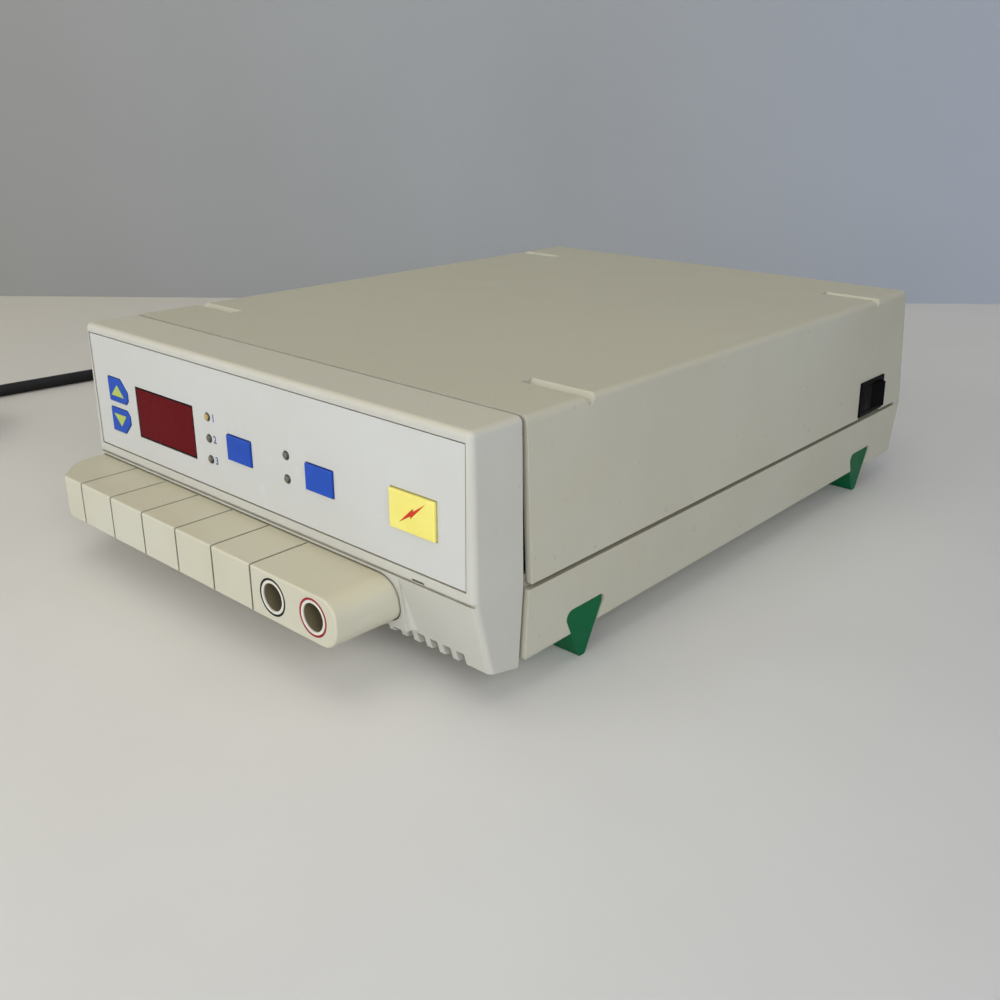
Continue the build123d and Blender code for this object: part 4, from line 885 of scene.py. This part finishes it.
# table, wall and light
room = {
    "tableSize": 8.0,
    "tableTop": -0.00005,
    "wallDistance": 946.0,
    "wallHeight": 2.5,
    "tableTone": tone(228, 227, 222),
    "tableAged": tone(223, 221, 216),
    # painted warm light on the left of the table and painted cool shade on its right
    "paintedWarmLight": tone(222, 217, 205),
    "paintedCoolShade": tone(176, 180, 187),
    "warmLightBand": (0.1, -0.6),
    "coolShadeBand": (0.06, 0.5),
    "tableStreak": tone(236, 235, 231),
    "streakStretch": (0.12, 1.0, 1.0),
    "streakTurn": (0, 0, 0.5),
    "tableRoughness": (0.44, 0.56),
    "tableSpecular": 0.22,
    "fade": (1.25, 2.4),
    "roomTone": tone(205, 209, 214),
    "wallTone": tone(160, 164, 168),
    "wallAged": tone(155, 159, 163),
    # painted shade on the left of the wall and painted window light on its right
    "wallLeftShade": tone(140, 139, 136),
    "wallRightLight": tone(178, 187, 203),
    "wallRoughness": 0.6,
    "airTone": (0.95, 0.97, 1.0, 1.0),
    "airLight": 0.1,
}


def lookedAt(tree):
    # 1 for what the camera sees, also mirrored in metal and through glass, 0 for plain light
    rays = addNode(tree, "LightPath")
    share = rays.outputs["Is Camera Ray"]
    for kind in ("Is Glossy Ray", "Is Transmission Ray"):
        either = addNode(tree, "Math", operation="MAXIMUM")
        tree.links.new(share, either.inputs[0])
        tree.links.new(rays.outputs[kind], either.inputs[1])
        share = either.outputs[0]
    return share


def flatPiece(name, corners):
    mesh = bpy.data.meshes.new(name)
    shape = bmesh.new()
    shape.faces.new([shape.verts.new(c) for c in corners])
    shape.to_mesh(mesh)
    shape.free()
    piece = bpy.data.objects.new(name, mesh)
    bpy.context.scene.collection.objects.link(piece)
    return piece


def tableTop():
    half = room["tableSize"] / 2
    table = flatPiece("table", [(x, y, room["tableTop"]) for x, y in
                                ((-half, -half), (half, -half), (half, half), (-half, half))])
    material, tree, shader = startMaterial("tableTop")
    place = objectPlace(tree)
    colour = mixTones(tree, spread(tree, grain(tree, place, 5.0, 6.0), 0.35, 0.65),
                      room["tableTone"], room["tableAged"])
    # a worn laminate with a few faint rubbed streaks; warm light from the left and a cool, darker shade to
    # the right are painted on
    across = addNode(tree, "SeparateXYZ")
    tree.links.new(place, across.inputs[0])
    warmLight = spread(tree, across.outputs["X"], *room["warmLightBand"], 0.0, 0.8)
    colour = mixTones(tree, warmLight, colour, room["paintedWarmLight"])
    coolShade = spread(tree, across.outputs["X"], *room["coolShadeBand"], 0.0, 0.9)
    colour = mixTones(tree, coolShade, colour, room["paintedCoolShade"])
    stretch = addNode(tree, "Mapping")
    stretch.inputs["Scale"].default_value = room["streakStretch"]
    stretch.inputs["Rotation"].default_value = room["streakTurn"]
    tree.links.new(place, stretch.inputs["Vector"])
    streaks = spread(tree, grain(tree, stretch.outputs["Vector"], 90.0, 5.0, 0.7), 0.66, 0.78, 0.0, 0.35)
    colour = mixTones(tree, streaks, colour, room["tableStreak"])
    tree.links.new(colour, shader.inputs["Base Color"])
    gloss = spread(tree, grain(tree, place, 30.0, 5.0), *noiseBand, *room["tableRoughness"])
    tree.links.new(gloss, shader.inputs["Roughness"])
    shader.inputs["Specular IOR Level"].default_value = room["tableSpecular"]
    # far from the part the table fades into the room, only for what is seen, directly or mirrored
    away = addNode(tree, "VectorMath", operation="LENGTH")
    tree.links.new(place, away.inputs[0])
    seen = multiply(tree, spread(tree, away.outputs["Value"], *room["fade"]), lookedAt(tree))
    glow = addNode(tree, "Emission")
    glow.inputs["Color"].default_value = room["roomTone"]
    mixer = addNode(tree, "MixShader")
    tree.links.new(seen, mixer.inputs[0])
    tree.links.new(shader.outputs[0], mixer.inputs[1])
    tree.links.new(glow.outputs[0], mixer.inputs[2])
    tree.links.new(mixer.outputs[0], tree.nodes["Material Output"].inputs["Surface"])
    dress(table, material)


def backWall():
    turn = math.radians(view["turn"])
    ahead = Vector((math.sin(turn), math.cos(turn), 0))
    side = Vector((math.cos(turn), -math.sin(turn), 0))
    foot = at(view["place"][0], view["place"][1], 0) + ahead * mm(room["wallDistance"])
    reach = side * room["tableSize"] / 2
    top = Vector((0, 0, room["wallHeight"]))
    wall = flatPiece("wall", [foot - reach, foot + reach, foot + reach + top, foot - reach + top])
    material, tree, shader = startMaterial("wallPaint")
    place = objectPlace(tree)
    colour = mixTones(tree, spread(tree, grain(tree, place, 3.0, 5.0), 0.35, 0.65),
                      room["wallTone"], room["wallAged"])
    along = addNode(tree, "VectorMath", operation="DOT_PRODUCT")
    along.inputs[1].default_value = side
    tree.links.new(place, along.inputs[0])
    middle = foot.dot(side)
    # painted shade towards the left of the wall and painted cool window light towards the right
    left = spread(tree, along.outputs["Value"], middle - 0.05, middle - 0.55, 0.0, 0.9)
    colour = mixTones(tree, left, colour, room["wallLeftShade"])
    right = spread(tree, along.outputs["Value"], middle + 0.05, middle + 0.5, 0.0, 0.9)
    colour = mixTones(tree, right, colour, room["wallRightLight"])
    tree.links.new(colour, shader.inputs["Base Color"])
    shader.inputs["Roughness"].default_value = room["wallRoughness"]
    # seen from behind, the wall is left open
    facing = addNode(tree, "NewGeometry").outputs["Backfacing"]
    clear = addNode(tree, "BsdfTransparent")
    mixer = addNode(tree, "MixShader")
    tree.links.new(facing, mixer.inputs[0])
    tree.links.new(shader.outputs[0], mixer.inputs[1])
    tree.links.new(clear.outputs[0], mixer.inputs[2])
    tree.links.new(mixer.outputs[0], tree.nodes["Material Output"].inputs["Surface"])
    wall.visible_shadow = False
    dress(wall, material)


lamps = {
    "windowFront": {"place": (250, -1500, 500), "aim": (0, 60, 50), "size": 1000, "power": 10.2,
                    "tint": (1.0, 1.0, 1.0)},
    "windowLeft": {"place": (-1100, -1100, 500), "aim": (0, 60, 50), "size": 1000, "power": 7.4,
                   "tint": (1.0, 0.985, 0.94)},
    "windowRight": {"place": (1600, -450, 600), "aim": (0, 60, 50), "size": 1000, "power": 4.95,
                    "tint": (0.95, 0.98, 1.06)},
    "near": {"place": (650, -350, 400), "aim": (0, 40, 50), "size": 450, "power": 2.25,
             "tint": (0.98, 1.0, 1.03)},
    "behind": {"place": (350, 1500, 600), "aim": (0, 300, 50), "size": 900, "power": 1.5,
               "tint": (0.98, 0.99, 1.03)},
    "ceiling": {"place": (-100, -150, 1250), "aim": (0, 40, 50), "size": 1000, "power": 4.05,
                "tint": (1.0, 0.95, 0.84)},
}


def hangLamps():
    for name, lamp in lamps.items():
        data = bpy.data.lights.new(name, "AREA")
        data.shape = "SQUARE"
        data.size = mm(lamp["size"])
        data.energy = lamp["power"]
        data.color = lamp["tint"]
        light = bpy.data.objects.new(name, data)
        bpy.context.scene.collection.objects.link(light)
        start = at(*lamp["place"])
        aim = at(*lamp["aim"]) - start
        light.matrix_world = Matrix.Translation(start) @ aim.to_track_quat("-Z", "Y").to_matrix().to_4x4()


def airLight():
    world = bpy.data.worlds.new("room")
    bpy.context.scene.world = world
    world.use_nodes = True
    tree = world.node_tree
    tree.nodes["Background"].inputs["Color"].default_value = room["airTone"]
    tree.nodes["Background"].inputs["Strength"].default_value = room["airLight"]
    seen = addNode(tree, "Background")
    seen.inputs["Color"].default_value = room["roomTone"]
    mixer = addNode(tree, "MixShader")
    tree.links.new(lookedAt(tree), mixer.inputs[0])
    tree.links.new(tree.nodes["Background"].outputs[0], mixer.inputs[1])
    tree.links.new(seen.outputs[0], mixer.inputs[2])
    tree.links.new(mixer.outputs[0], tree.nodes["World Output"].inputs["Surface"])


tableTop()
backWall()
hangLamps()
airLight()
bpy.context.scene.view_settings.view_transform = "Standard"
print("table, wall and light set")
